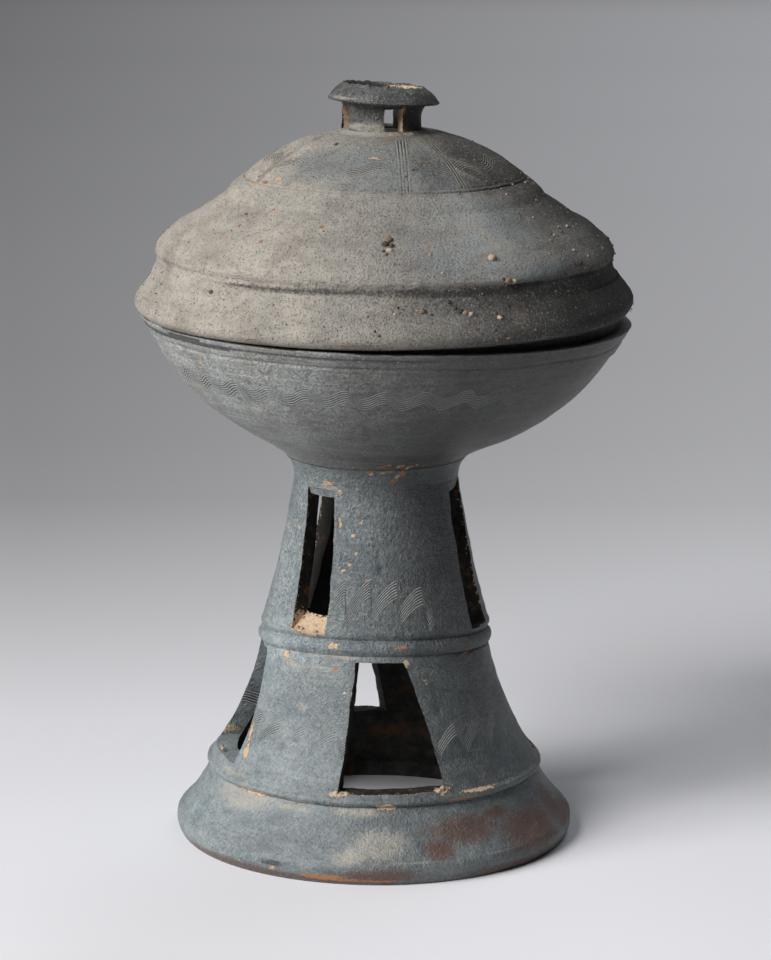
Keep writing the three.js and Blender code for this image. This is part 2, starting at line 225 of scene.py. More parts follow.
# Clays, each as its pale, main, dark and warm tones and a tinge that comes in clouds.
SLATE_CLAY = (
    (0.185, 0.213, 0.22), (0.105, 0.124, 0.132), (0.045, 0.054, 0.06),
    (0.165, 0.15, 0.128), (0.062, 0.095, 0.115),
)
GREY_CLAY = (
    (0.17, 0.178, 0.174), (0.108, 0.109, 0.102), (0.038, 0.037, 0.035),
    (0.15, 0.125, 0.095), (0.085, 0.074, 0.06),
)
BLACK_CLAY = (
    (0.11, 0.112, 0.108), (0.05, 0.052, 0.052), (0.012, 0.012, 0.012),
    (0.1, 0.09, 0.078), (0.03, 0.032, 0.034),
)

# Painted marks: how ragged the edge is, where the mark sets in and is full, its strength and its colour.
# The soot mark also lays painted shade, in recesses and under ledges and the lid.
MARKS = [
    ("pale", 0.9, 0.3, 1.3, 0.75, PALE_DUST_AND_LIGHT), ("flush", 0.7, 0.15, 1.1, 0.85, RED_BROWN),
    ("soot", 0.6, 0.25, 0.95, 0.85, NEAR_BLACK), ("rust", 1.0, 0.45, 0.62, 1.0, OCHRE),
]


def marked(clay, mottle):
    """Lays everything that was painted on the piece over the base."""
    crumbly = clay.cloud(1.0, 13, 5.0, 0.75)
    torn = (mottle - 0.5) * 1.1 + (crumbly - 0.5) * 2.8
    for name, ragged, low, high, share, colour in MARKS:
        clay.layer((clay.painted(name) + torn * ragged).step(low, high) * share, colour)
    chipped = clay.painted("chip") + torn
    clay.layer(chipped.step(0.25, 0.45) * 0.6, NEAR_BLACK)
    clay.layer(chipped.step(0.45, 0.58), clay.mix(crumbly.step(0.33, 0.52), FRESH_BROWN, CREAM))


def comb_lines(level, teeth, pitch):
    """Fine parallel lines within half a comb's width of level 0: 1 on a ridge and -1 in a groove."""
    half = teeth * pitch / 2
    wave = level * (2 * math.pi / pitch) + (teeth - 1) * math.pi
    return wave.math("COSINE") * level.math("ABSOLUTE").step(half + 0.06, half - 0.12)


def waved_comb(along, height, comb):
    """Lines of a comb that swings as it goes along. A sharp one falls steeply and bites less as it falls."""
    foot, period, swing, rise, sharp, teeth, pitch = comb
    phase = ((along - foot) / period).math("FRACT")
    share = (phase / rise).math("MINIMUM", (1 - phase) / (1 - rise))
    if sharp:
        path = (share * SHARP_TURN).math("SINE") * (1 / math.sin(SHARP_TURN))
        bite = 1 - phase.step(rise, rise + 0.02) * 0.65
    else:
        path = 0.5 - (share * math.pi).math("COSINE") * 0.5
        bite = 1
    return comb_lines(height - path * swing, teeth, pitch) * bite


def stoneware(clay, tones, streak, grain=1.0, striations=0.0):
    """Lays clouds, wiped streaks, mottling, frost, pores, and creases with painted highlight and shade.
    Returns what the relief is made of.
    """
    light, _, dark, warm, tinge = tones
    mottle = clay.cloud(3, 2, 5.0, 0.65)
    fine = clay.cloud(0.9, 8, 3.0, 0.7)
    wiped = clay.cloud(2.6, 5, 4.0, 0.7, clay.stretched(*streak))
    clay.clouded(light, 1, 0.33, 0.68, 28, 0, 4.0)
    clay.clouded(warm, 0.45, 0.52, 0.78, 15, 4, 4.0)
    clay.clouded(tinge, 0.6, 0.48, 0.7, 8, 15, 5.0, 0.65)
    clay.layer(mottle.step(0.62, 0.3) * 0.4, dark)
    clay.layer(wiped.step(0.48, 0.68) * 0.45, light)
    clay.layer(wiped.step(0.48, 0.3) * 0.4, dark)
    if striations:
        thrown = clay.cloud(1.1, 9, 3.0, 0.6, clay.stretched(0.06, 0.06, 1))
        clay.layer(thrown.step(0.6, 0.35) * striations, dark)
        clay.layer(thrown.step(0.55, 0.75) * striations * 0.6, light)
    frost = fine.step(0.52, 0.62) * clay.cloud(12, 12, 4.0).step(0.3, 0.65)
    clay.layer(frost * grain * 0.3, FROST)
    clay.layer(fine.step(0.46, 0.34) * grain * 0.6, dark)
    # Creases: raised lines with a painted highlight along them and painted shade beside them.
    veins = clay.cloud(2, 24, 3.0, 0.6) - 0.5
    creases = (1 - veins.math("ABSOLUTE") * 18).clamped() * clay.cloud(7, 25).step(0.42, 0.6)
    clay.layer(creases * grain * 0.38, FROST)
    clay.layer((1 - (veins + 0.06).math("ABSOLUTE") * 18).clamped() * grain * 0.4, dark)
    sharp = clay.cloud(0.42, 14, 2.0, 0.6)
    clay.layer(sharp.step(0.5, 0.32) * 0.3, dark)
    clay.layer(sharp.step(0.54, 0.7) * 0.12, FROST)
    return mottle, fine + sharp * 0.7 + creases * 0.35, wiped


def finished(clay, mottle, fine, wiped, relief, lines=None):
    """Adds comb lines with painted shade and highlight, painted marks and stray specks to a clay, and gives
    back its material.
    """
    if lines:
        # Painted shade in the comb's grooves and a painted highlight on its ridges.
        clay.layer(lines * -0.95, GROOVE_DARK)
        clay.layer(lines * 1.1, RIDGE_PALE)
    marked(clay, mottle)
    specks = clay.grains(3, 3, 0.08, 0.14)
    clay.layer(specks * clay.cloud(9, 6).step(0.5, 0.6) * 0.85, CREAM)
    clay.roughen(mottle * 0.22 + (clay.roughness - 0.14))
    raised = (mottle * 0.7 + wiped * 0.5 + fine * 0.55 + specks * 0.2) * relief
    return clay.done(raised + lines * 0.16 if lines else raised)


# Combs: where a wave begins and how long it is, in degrees, how high it swings, the share of it that rises,
# whether it turns sharply, how many teeth there are and how far apart. The cap's comb swings in and out.
STEM_COMB = (13.2, 14.2, 7.8, 0.9, True, 7, 0.86)
TIER_COMB = (-26, 13.1, 5.4, 0.72, True, 5, 0.82)
BOWL_COMB = (-26, 10.1, 2.6, 0.6, False, 6, 0.76)
CAP_COMB = (-40, 24, 2.6, 0.55, False, 5, 0.75)
# The part of a sine wave, in radians, that a sharp comb follows on its way up.
SHARP_TURN = 1.25
# Combs drawn out from the knob: azimuth, sideways lean and number of teeth.
RADIAL_COMBS = [
    (9.2, -0.1, 4), (34.5, -0.05, 3), (-39, -0.4, 3), (-66, 0.15, 3), (96, 0, 4), (143, 0.1, 3),
    (-160, 0, 4), (-112, 0, 3),
]


def pedestal_clay():
    """Slate clay, with painted light on its left and on the foot's right, and painted shade on the stem's
    right.
    """
    clay = Finish("pedestal_clay", 0.48, 0.65, SLATE_CLAY[1])
    azimuth, _, height = clay.round_axis(PEDESTAL_AXIS)
    grain = height.graded((20, 0.7), (60, 0.95), (78, 1.4))
    parts = stoneware(clay, SLATE_CLAY, (0.25, 0.25, 1.2), grain)
    # Painted light and shade round the pedestal: paler on the left, darker a little right of the front.
    left = ((-180, 1), (-120, 1.35), (-65, 1.93), (-25, 1.47), (0, 1.08))
    painted_light_and_shade = azimuth.graded(*left, (18, 0.85), (50, 0.85), (75, 1.1), (180, 1))
    # A painted highlight on the left of the middle cordon.
    painted_highlight = azimuth.graded((-120, 0), (-60, 1), (-25, 1), (0, 0.3), (40, 0))
    painted_highlight = painted_highlight * height.graded((20, 0.02), (26, 0), (60, 0), (64, 0.3), (73, 0.3), (76, 0))
    # Painted shade on the right of the stem and, more faintly, of the lower tier.
    sooty = azimuth.graded((0, 0), (30, 0.55), (50, 0.55), (75, 0))
    sooty = sooty * height.graded((27, 0), (36, 0.35), (70, 0.3), (90, 1))
    # Painted light on the right of the foot.
    painted_foot_light = azimuth.graded((5, 0), (25, 0.5), (40, 0.35), (90, 0.35), (130, 0)) * height.line(26, 22)
    clay.shade(painted_light_and_shade * (1 - sooty) + painted_foot_light + painted_highlight)
    drift = (clay.cloud(16, 21) - 0.5) * 4
    bend = (azimuth * azimuth * 0.0045).math("MINIMUM", 4.5)
    stem = waved_comb(azimuth + drift, height - 80.2 + bend + drift * 0.15, STEM_COMB)
    tier = waved_comb(azimuth + drift, height - 37.6 + drift * 0.25, TIER_COMB)
    relief = height.graded((20, 0.6), (60, 0.8), (78, 1.2))
    return finished(clay, *parts, relief, (stem + tier) * clay.painted("comb"))


def bowl_clay():
    """Grey clay with thrown striations, with painted light on its left and painted shade on its right."""
    clay = Finish("bowl_clay", 0.48, 0.6, GREY_CLAY[1])
    azimuth, _, height = clay.round_axis(BOWL_AXIS)
    parts = stoneware(clay, GREY_CLAY, (0.15, 0.15, 1), 1.0, 0.5)
    # Painted light and shade: paler towards the left and darker on the right; the whole also darkens towards
    # the bottom.
    left = ((-180, 1.2), (-110, 2.2), (-60, 3), (-30, 2.6), (-5, 1.35))
    painted_light_and_shade = azimuth.graded(*left, (20, 0.54), (50, 0.46), (80, 0.85), (180, 1.2))
    clay.shade(painted_light_and_shade * height.graded((132, 0.72), (148, 1)))
    drift = (clay.cloud(20, 22) - 0.5) * 4
    lines = waved_comb(azimuth + drift, height - 153.2 + azimuth * 0.008 + drift * 0.2, BOWL_COMB)
    return finished(clay, *parts, 0.8, lines * clay.painted("comb"))


def knob_clay():
    clay = Finish("knob_clay", 0.6, 0.5, BLACK_CLAY[1])
    return finished(clay, *stoneware(clay, BLACK_CLAY, (1, 1, 1), 1.5), 1.1)


def lid_clay():
    """The lid's clay: warm ash and painted light on its left, soot and painted shade on its right, and dense
    grit of several colours all over.
    """
    clay = Finish("lid_clay", 0.74, 0.4, (0.2, 0.2, 0.193))
    azimuth, radius, height = clay.round_axis(LID_AXIS)
    mottle = clay.cloud(3, 3, 5.0, 0.68)
    fine = clay.cloud(0.7, 7, 4.0, 0.7)
    brushed = clay.cloud(4, 16, 4.0, 0.65, clay.stretched(0.25, 0.25, 1))
    # Warm ash, laid on as painted light too: paler towards the left, in clouds.
    clay.layer((clay.along(0) * -0.012 + clay.cloud(24, 1, 4.0) * 1.5 - 0.3).clamped(), (0.42, 0.383, 0.333))
    clay.layer(clay.painted("blue").step(0.1, 0.9) * 0.85, (0.17, 0.195, 0.2))
    clay.clouded((0.115, 0.13, 0.135), 0.3, 0.5, 0.72, 13, 17, 4.0)
    clay.clouded((0.2, 0.145, 0.105), 0.4, 0.52, 0.7, 11, 18, 4.0)
    clay.layer(brushed.step(0.56, 0.32) * 0.35, WORN_BROWN)
    clay.layer(mottle.step(0.62, 0.34) * 0.3, WORN_BROWN)
    # Painted shade: darker to the right under the carination, on the dome and on the cap.
    beneath = azimuth.graded((-20, 0), (3, 0.2), (35, 0.98), (60, 1.3), (75, 1.34), (110, 1.1), (170, 0))
    # The dome also gets painted light just right of the front.
    front = ((-20, 0), (5, 0.08), (16, -0.22), (28, -0.85), (40, -0.05))
    dome = azimuth.graded(*front, (55, 0.42), (100, 0.4), (170, 0)) * height.line(188, 191)
    cap = azimuth.graded((10, -0.05), (25, 1.1), (60, 0.65), (170, 0)) * height.line(212, 216)
    clay.shade(1.46 - beneath * height.line(191, 187) - dome - cap)
    clay.clouded((0.37, 0.27, 0.2), 0.3, 0.54, 0.72, 9, 11, 5.0, 0.65)
    clay.layer(fine.step(0.52, 0.62) * 0.5, (0.44, 0.41, 0.365))
    clay.layer(fine.step(0.48, 0.36) * 0.62, (0.04, 0.037, 0.034))
    drift = (clay.cloud(14, 23) - 0.5) * 5
    lines = waved_comb(azimuth + drift, 37.2 - radius + drift * 0.3, CAP_COMB)
    for place, lean, teeth in RADIAL_COMBS:
        offset = (azimuth - place) * radius * (math.pi / 180) - (radius - 35) * lean
        beside = offset.math("ABSOLUTE").step(teeth * 0.5, teeth * 0.5 + 0.4)
        lines = lines * beside + comb_lines(offset, teeth, 1)
    lines = lines * clay.painted("comb")
    # Painted shade in the comb's grooves and a painted highlight on its ridges.
    clay.layer(lines * -1.1, (0.03, 0.032, 0.033))
    clay.layer(lines * 0.7, PALE_DUST_AND_LIGHT)
    marked(clay, mottle)
    dark_grit = clay.grains(1.7, 1, 0.12, 0.2)
    clay.layer(dark_grit * clay.cloud(8, 9).step(0.4, 0.6) * 0.9, NEAR_BLACK)
    clay.layer(clay.grains(2.4, 4, 0.1, 0.16) * 0.75, (0.27, 0.13, 0.065))
    sandy = clay.grains(1.15, 8, 0.16, 0.26) * clay.cloud(10, 19).step(0.42, 0.6)
    sanded = azimuth.graded((-30, 0.2), (20, 0.85), (100, 0.7), (175, 0.2))
    clay.layer(sandy * sanded, (0.5, 0.44, 0.36))
    pale_grit = clay.grains(2, 6, 0.12, 0.18)
    clay.layer(pale_grit * 0.8, (0.6, 0.53, 0.43))
    clay.roughen(mottle * 0.25 + 0.62)
    grit = sandy * 0.3 + pale_grit * 0.35 - dark_grit * 0.35
    return clay.done(mottle * 0.6 + brushed * 0.5 + fine * 1.1 + grit + lines * 0.1)


def inner_clay(name, level):
    """The unseen side of the walls: dark, with brown patches where the fire reached in, and painted shade
    deep in the windows.
    """
    clay = Finish(name, 0.85, 0.25, (0.015, 0.015, 0.015))
    mottle = clay.cloud(5, 5, 5.0, 0.68)
    clay.layer(mottle.step(0.35, 0.7), (0.05, 0.047, 0.043))
    clay.clouded((0.1, 0.045, 0.02), 0.8, 0.52, 0.68, 13, 2, 5.0, 0.7)
    # Painted shade, where the soot mark reaches the inner side.
    clay.layer(clay.painted("soot") * 0.9, (0.004, 0.004, 0.004))
    clay.tinted((level, level, level))
    return clay.done(mottle * 0.5 + clay.cloud(1.2, 3) * 0.2)


def cut_clay(name):
    """Faces that a knife left: browner and rougher than the walls, cream where they chipped."""
    clay = Finish(name, 0.85, 0.3, (0.008, 0.0075, 0.007))
    mottle = clay.cloud(2.4, 4, 5.0, 0.68)
    clay.layer(mottle.step(0.35, 0.65), (0.034, 0.031, 0.028))
    clay.clouded((0.2, 0.085, 0.03), 0.85, 0.55, 0.68, 5, 8, 5.0, 0.7)
    marked(clay, mottle)
    return clay.done(mottle * 0.5 + clay.cloud(0.8, 3) * 0.2)


def grit_finish(name):
    """Lumps of kiln grit, each from cream through brown to nearly black."""
    grit = Finish(name, 0.8, 0.35, (0.06, 0.05, 0.045))
    tint = grit.painted("tint")
    grit.layer(tint.step(0.2, 0.6), (0.27, 0.19, 0.14))
    grit.layer(tint.step(0.6, 0.95), (0.55, 0.44, 0.33))
    grit.layer(grit.cloud(0.5, 2).step(0.55, 0.35) * 0.6, NEAR_BLACK)
    return grit.done(grit.cloud(0.5) * 0.15)


def heading(angle):
    """The unit vector at an angle in degrees."""
    return Vector((math.cos(math.radians(angle)), math.sin(math.radians(angle))))


def shares(steps):
    """Pairs of a share that grows from 0 to 1 and what is left of it."""
    return [(i / steps, 1 - i / steps) for i in range(steps + 1)]


def points(*pairs):
    return [Vector(pair) for pair in pairs]


def swept(start, end, curve, steps):
    """Points of a curve between two points. It is given by slope and pull at the start, then at the end."""
    start_angle, start_pull, end_angle, end_pull = curve
    first, last = points(start, end)
    chord = (last - first).length
    second = first + heading(start_angle) * start_pull * chord
    third = last - heading(end_angle) * end_pull * chord
    return [
        first * s**3 + second * (3 * s * s * t) + third * (3 * s * t * t) + last * t**3
        for t, s in shares(steps)
    ]


def bowed(start, end, bow, steps):
    """Points of a curve between two points that bows sideways by a distance at its middle."""
    first, last = points(start, end)
    along = (last - first).normalized()
    pull = (first + last) / 2 + Vector((-along.y, along.x)) * (2 * bow)
    return [first * s * s + pull * (2 * s * t) + last * t * t for t, s in shares(steps)]


def inside(line, wall):
    """The points of a line moved to the left of the way it runs, by the wall's thickness."""
    moved = []
    for i, here in enumerate(line):
        along = (line[min(i + 1, len(line) - 1)] - line[max(i - 1, 0)]).normalized()
        moved.append(here + Vector((-along.y, along.x)) * wall)
    return moved


def turned(outline, columns, closed):
    """A bmesh in metres: an outline of radii and heights, spun about Z. A closed one stays off the axis."""
    bm = bmesh.new()
    ring = [bm.verts.new((r * MM, 0, z * MM)) for r, z in outline]
    edges = [bm.edges.new(pair) for pair in zip(ring, ring[1:])]
    if closed:
        edges.append(bm.edges.new((ring[-1], ring[0])))
    bmesh.ops.spin(
        bm,
        geom=ring + edges,
        cent=(0, 0, 0),
        axis=(0, 0, 1),
        angle=2 * math.pi,
        steps=SPIN_STEPS,
        use_merge=True,
        use_normal_flip=False,
        use_duplicate=False,
    )
    bmesh.ops.remove_doubles(bm, verts=bm.verts, dist=1e-6)
    bmesh.ops.recalc_face_normals(bm, faces=bm.faces)
    around = [e for e in bm.edges if lies_round(e)]
    bmesh.ops.subdivide_edges(bm, edges=around, cuts=columns // SPIN_STEPS - 1, use_grid_fill=True)
    return bm


def lies_round(edge):
    """Whether an edge runs round the axis at one height and radius."""
    a, b = (v.co for v in edge.verts)
    return abs(a.z - b.z) < 1e-7 and abs(a.xy.length - b.xy.length) < 1e-6


def denser(outline, height, reach, spacing):
    """The outline with more points where it passes within a reach of a height."""
    closer = [outline[0]]
    for before, after in zip(outline, outline[1:]):
        parts = 1
        if abs((before.y + after.y) / 2 - height) < reach:
            parts = max(1, round((after - before).length / spacing))
        closer += [before.lerp(after, part / parts) for part in range(1, parts + 1)]
    return closer


def piece_from(bm, name, axis=0):
    """An object of its own from a bmesh, which is moved to an axis along X first."""
    bmesh.ops.translate(bm, vec=(axis * MM, 0, 0), verts=bm.verts)
    mesh = bpy.data.meshes.new(name)
    bm.to_mesh(mesh)
    bm.free()
    mesh.shade_smooth()
    piece = bpy.data.objects.new(name, mesh)
    bpy.context.scene.collection.objects.link(piece)
    return piece


def thrown(name, axis, profile, outline, columns, closed, *finishes):
    """A turned piece with its finishes, and its wall."""
    piece = piece_from(turned(outline, columns, closed), name, axis)
    for finish in finishes:
        piece.data.materials.append(finish)
    wall = Wall(piece, axis, profile)
    wall.rounded()
    return piece, wall


def ramp(values, low, high):
    """0 below low and 1 above high, with a soft step between them, for numbers or arrays."""
    share = np.clip((values - low) / (high - low), 0, 1)
    return share * share * (3 - 2 * share)


def band(values, low, full, fading, high):
    """0 below low and above high, and 1 from full to fading, with soft steps between."""
    return ramp(values, low, full) * (1 - ramp(values, fading, high))


def ridge(values, wide):
    """1 where the values are 0, falling away on both sides."""
    return np.exp(-((values / wide) ** 2))


def strongest(*layers):
    return np.max(np.broadcast_arrays(*layers), axis=0)


class Wall:
    """The vertices of a turned piece, measured about its axis, with ways to move and to paint them."""

    def __init__(self, piece, axis, profile):
        self.mesh = piece.data
        self.axis = np.array((axis, 0, 0))
        self.profile = np.array([tuple(p) for p in profile])
        self.points = self.read("co") / MM - self.axis
        self.measure()

    def read(self, name):
        """A vector of every vertex, as an array of rows."""
        flat = np.empty(3 * len(self.mesh.vertices))
        self.mesh.vertices.foreach_get(name, flat)
        return flat.reshape(-1, 3)

    def measure(self):
        x, y, self.height = self.points.T
        self.radius = np.hypot(x, y)
        self.azimuth = np.degrees(np.arctan2(x, -y))

    def depth(self, lift=0):
        """How far each vertex lies within the outer profile."""
        return np.interp(self.height - lift, self.profile[:, 1], self.profile[:, 0]) - self.radius

    def settle(self):
        """Writes the points back to the mesh."""
        self.mesh.vertices.foreach_set("co", ((self.points + self.axis) * MM).ravel())
        self.mesh.update()
        self.measure()

    def rounded(self):
        """Moves the vertices between two columns of the spin out to the true circle."""
        step = 360 / SPIN_STEPS
        share = np.radians((self.azimuth % step) - step / 2)
        self.points[:, :2] *= (np.cos(share) / math.cos(math.radians(step / 2)))[:, None]
        self.settle()

    def raised(self, lift):
        self.points[:, 2] += lift
        self.settle()

    def worked(self, relief):
        """Moves each vertex along its normal."""
        self.points += self.read("normal") * relief[:, None]
        self.settle()

    def clouds(self, size, seed, flat=1.0):
        """Noise from about -1 to 1 in lumps of the given size. A low flat draws it out round the axis."""
        places = (self.points + self.axis) * (flat, flat, 1) / size + seed * 7.3
        return np.array([noise.noise(p) for p in places.tolist()])

    def lumpy(self, *clouds):
        """The sum of several clouds. Each is given by its strength and then as for clouds."""
        return sum(self.clouds(*cloud) * strength for strength, *cloud in clouds)

    def across(self, azimuth):
        """How far each vertex lies round the wall from an azimuth."""
        return np.radians((self.azimuth - azimuth + 180) % 360 - 180) * self.radius

    def dab(self, azimuth, height, wide, tall, lean=0, deep=1.6, lift=0):
        """A soft spot that is 1 at its middle and 0 at its rim. A positive lean raises its right side."""
        across, up = self.across(azimuth), self.height - height
        turn = math.radians(lean)
        along = across * math.cos(turn) + up * math.sin(turn)
        over = up * math.cos(turn) - across * math.sin(turn)
        reach = np.sqrt((along / wide) ** 2 + (over / tall) ** 2 + (self.depth(lift) / deep) ** 2)
        return np.clip(1.5 - reach, 0, 1)

    def dabs(self, *spots, **keys):
        """The strongest of several spots at each vertex."""
        return strongest(0, *(self.dab(*spot, **keys) for spot in spots))

    def paint(self, **marks):
        for name, values in marks.items():
            layer = self.mesh.attributes.new(name, "FLOAT", "POINT")
            layer.data.foreach_set("value", values.astype(np.float32))


# The radius inside which a window's sill may climb.
CLIMB_RADIUS = 35.5


def window_block(window, axis, bottom, top, finish, wall_radius, reach, roughness):
    """The block that a knife takes out of a wall. It starts at the axis and slants about the wall."""
    azimuth, head, sill, lean, slant, lift, climb = window
    bm = bmesh.new()
    corners = [
        ((lean - sill) / 2, bottom + lift), ((lean + sill) / 2, bottom + lift),
        ((head - lean) / 2, top + lift), ((-head - lean) / 2, top + lift),
    ]
    face = bm.faces.new([bm.verts.new((x * MM, 0, z * MM)) for x, z in corners])
    pushed = bmesh.ops.extrude_face_region(bm, geom=[face])["geom"]
    moved = [v for v in pushed if isinstance(v, bmesh.types.BMVert)]
    bmesh.ops.translate(bm, vec=(0, -reach * MM, 0), verts=moved)
    bmesh.ops.recalc_face_normals(bm, faces=bm.faces)
    bmesh.ops.subdivide_edges(bm, edges=bm.edges, cuts=31, use_grid_fill=True)
    for vertex in bm.verts:
        inward = max(0.0, vertex.co.y + CLIMB_RADIUS * MM)
        vertex.co.z += inward * climb * (top * MM - vertex.co.z) / ((top - bottom) * MM)
    to_wall = Matrix.Translation((0, wall_radius * MM, 0))
    turn = Matrix.Rotation(math.radians(azimuth), 4, "Z")
    slanted = to_wall.inverted() @ Matrix.Rotation(math.radians(slant), 4, "Z") @ to_wall
    bmesh.ops.transform(bm, matrix=turn @ slanted, verts=bm.verts)
    for vertex in bm.verts:
        broad = noise.noise_vector(vertex.co / (7 * MM)) * roughness
        fine = noise.noise_vector(vertex.co / (1.8 * MM)) * roughness * 0.45
        vertex.co += (broad + fine) * MM
    block = piece_from(bm, "cutter", axis)
    block.data.materials.append(finish)
    return block


def cut(piece, cutters):
    """Takes the cutters out of the piece, gives the new faces their finish, and removes the cutters."""
    for cutter in cutters:
        modifier = piece.modifiers.new("cut", "BOOLEAN")
        modifier.operation = "DIFFERENCE"
        modifier.solver = "MANIFOLD"
        modifier.material_mode = "TRANSFER"
        modifier.object = cutter
    done = bpy.data.meshes.new_from_object(piece.evaluated_get(bpy.context.evaluated_depsgraph_get()))
    piece.modifiers.clear()
    piece.data = done
    done.shade_smooth()
    for cutter in cutters:
        bpy.data.objects.remove(cutter)


def lined(piece, chosen):
    """Gives the piece's second finish to the faces whose vertices are all chosen."""
    chosen = chosen.tolist()
    second = [int(all(chosen[v] for v in polygon.vertices)) for polygon in piece.data.polygons]
    piece.data.polygons.foreach_set("material_index", second)


def dressed(piece, body, node):
    piece.data.set_sharp_from_angle(angle=math.radians(CRISP_TURN))
    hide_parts(node)
    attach(piece, body)


# Pedestal. The cordon between its tiers was pressed on aslant, higher at the front.
CORDON_LEVEL = 67.6
CORDON_LIFT = 3.7
PEDESTAL_WALL = 5.5
LOW_CORDON = [
    (53, 22.3), (53.75, 22.75), (54.3, 23.5), (54.25, 24.3), (53.6, 25), (52.75, 25.4), (52.55, 25.9),
]
MIDDLE_CORDON = [
    (36.95, 62.6), (36.6, 63), (37.05, 63.5), (37.6, 64.2), (37.85, 65.1), (37.8, 66.1), (37.4, 67),
    (36.7, 67.6), (36.15, 67.95), (36.4, 68.5), (36.85, 69.3), (36.9, 70.2), (36.6, 71.1), (36.15, 71.9),
]
# Windows: azimuth, widths at head and sill, lean, slant, lift, and how steeply the sill climbs inward.
UPPER_WINDOWS = [
    (-38, 11.3, 13.3, 3.4, 0, 0, 0.75), (68.5, 10, 11.8, -2.7, 0, 0.6, 0),
    (147, 10.6, 12.4, 1, 0, 0, 0), (231, 9.8, 11.4, 4.6, 0, 0.4, 0),
]
LOWER_WINDOWS = [
    (4.1, 15, 31.8, 6.7, -17.5, 0, 0), (-80, 15.7, 33.4, 0, 0, 1.9, 0),
    (107, 15.4, 33, 1, 0, 0.3, 0), (197.5, 15.8, 33.2, -1.5, 0, 0, 0),
]
# The window whose cut faces look like the wall outside.
SMEARED_WINDOW = LOWER_WINDOWS[1]
# Where the windows' heads and sills lie that don't follow the cordon, and how far the others stay from it.
UPPER_HEAD = 116.9
LOWER_SILL = 26.2
ABOVE_CORDON = 2.1
BELOW_CORDON = 6.6


def cordon_lift(azimuth, height):
    """How far the aslant cordon carries a point of the pedestal's wall up or down."""
    return CORDON_LIFT * np.cos(np.radians(azimuth)) * band(height, 25.4, CORDON_LEVEL, CORDON_LEVEL, NECK)


def pedestal_outline():
    lip = swept((62.1, 0), (64.2, 4.6), (25, 0.3, 90, 0.3), 7)
    rim = points((64.15, 5.6), (63.95, 6.5), (63.45, 7.3))
    flare = bowed((63.2, 7.6), LOW_CORDON[0], 0.75, 17)
    lower = bowed(LOW_CORDON[-1], MIDDLE_CORDON[0], 2.0, 36)[1:-1]
    upper = bowed(MIDDLE_CORDON[-1], (26.4, NECK), 0.9, 46)[1:]
    top = Vector((26.4, PEDESTAL_TOP))
    outer = [*lip, *rim, *flare, *points(*LOW_CORDON[1:]), *lower, *points(*MIDDLE_CORDON), *upper]
    inner_low = inside([*flare[1:-1:3], *lower[1::4]], PEDESTAL_WALL)
    inner_high = inside([*upper[::5], upper[-1], top], PEDESTAL_WALL)
    inner_high[-1].y = PEDESTAL_TOP
    inner = [top, *reversed(inner_high), *reversed(inner_low), Vector((57.6, 2.6))]
    return outer, [Vector((57.5, 0)), *outer, *inner]


def comb_panels(wall):
    """Where the combs were drawn: the stem's front and back, and the lower tier, fading in and out."""
    front = band(wall.azimuth, -23, -20, 28, 32)
    behind = ramp(np.abs(wall.azimuth), 166, 170) * 0.8
    pressed = ramp(wall.clouds(15, 31), -0.2, 0.2)
    return np.where(wall.height > 60, np.maximum(front, behind), 0.35 + 0.65 * pressed) * (wall.depth() < 8)


def window_rims(piece, wall, carried):
    """1 at the vertices where a window's cut faces meet the outer wall, and 0 elsewhere."""
    rims = np.zeros(len(wall.height))
    for polygon in piece.data.polygons:
        if polygon.material_index > 1:
            rims[list(polygon.vertices)] = 1
    return rims * (wall.depth(carried) < 0.9)


# Spots: azimuth, height, half the width, half the height, and the lean in degrees where there is one.
PEDESTAL_CHIPS = [
    (-36, 73.4, 6.2, 1.5), (-19.9, 69.9, 1.9, 0.8), (-48.6, 63.9, 1.8, 1.3, -20), (-22, 65.4, 3, 0.5),
    (15.5, 64.4, 1, 0.9), (4, 22.6, 3.2, 1.1), (-59.5, 38, 0.8, 3.4, 18), (-57, 32.5, 1.1, 2.6, 18),
    (-12.5, 26.1, 3, 0.7), (24.5, 26.7, 2.6, 1.2), (-78, 29.6, 4.5, 1.4), (24.7, 58.2, 0.6, 0.6),
    (-13.5, 55, 0.6, 0.6), (39, 25.3, 8, 0.3), (-58, 103.5, 0.7, 0.7), (-25, 116.8, 0.7, 0.9),
    (-24, 107.5, 0.5, 2, 4), (-14, 104, 0.8, 0.5), (-12, 98, 0.7, 0.5, 30), (-15.5, 94.5, 0.8, 0.5, 30),
    (-19, 92.5, 0.9, 0.5, 10), (-9, 108, 0.6, 0.5), (-45, 22.6, 7, 0.6), (-25, 22.9, 5, 0.4),
    (150, 73, 5, 1.2), (-132, 70, 3, 0.8), (200, 26.5, 6, 0.9), (120, 23.4, 5, 0.5), (-160, 22.9, 4, 1.2),
    (-29.5, 3.4, 1.6, 0.6),
]
PEDESTAL_RUST = [
    (12.1, 69.7, 2.6, 0.6), (51, 65, 5.5, 0.35, 6), (63.7, 70.8, 1.2, 0.5), (9, 24, 4, 0.3),
    (31, 23.6, 7, 0.25), (-58.5, 36, 0.8, 4, 18), (-18.9, 62, 0.8, 0.7), (17.5, 52.5, 0.5, 1.1, 12),
    (19.6, 45, 0.5, 1.1, 12), (22.2, 36, 0.5, 1.4, 12), (-5.3, 89.9, 0.7, 0.6), (66, 117, 3, 0.9),
    (64, 84, 0.8, 2.4, -8), (66, 76, 1.4, 1.2), (-48, 117.4, 0.6, 0.6), (-14, 2.6, 9, 0.6),
    (95, 25, 5, 0.4), (-101, 69, 4, 0.6), (170, 60, 2, 1.5), (-4, 1.5, 14, 0.4),
]
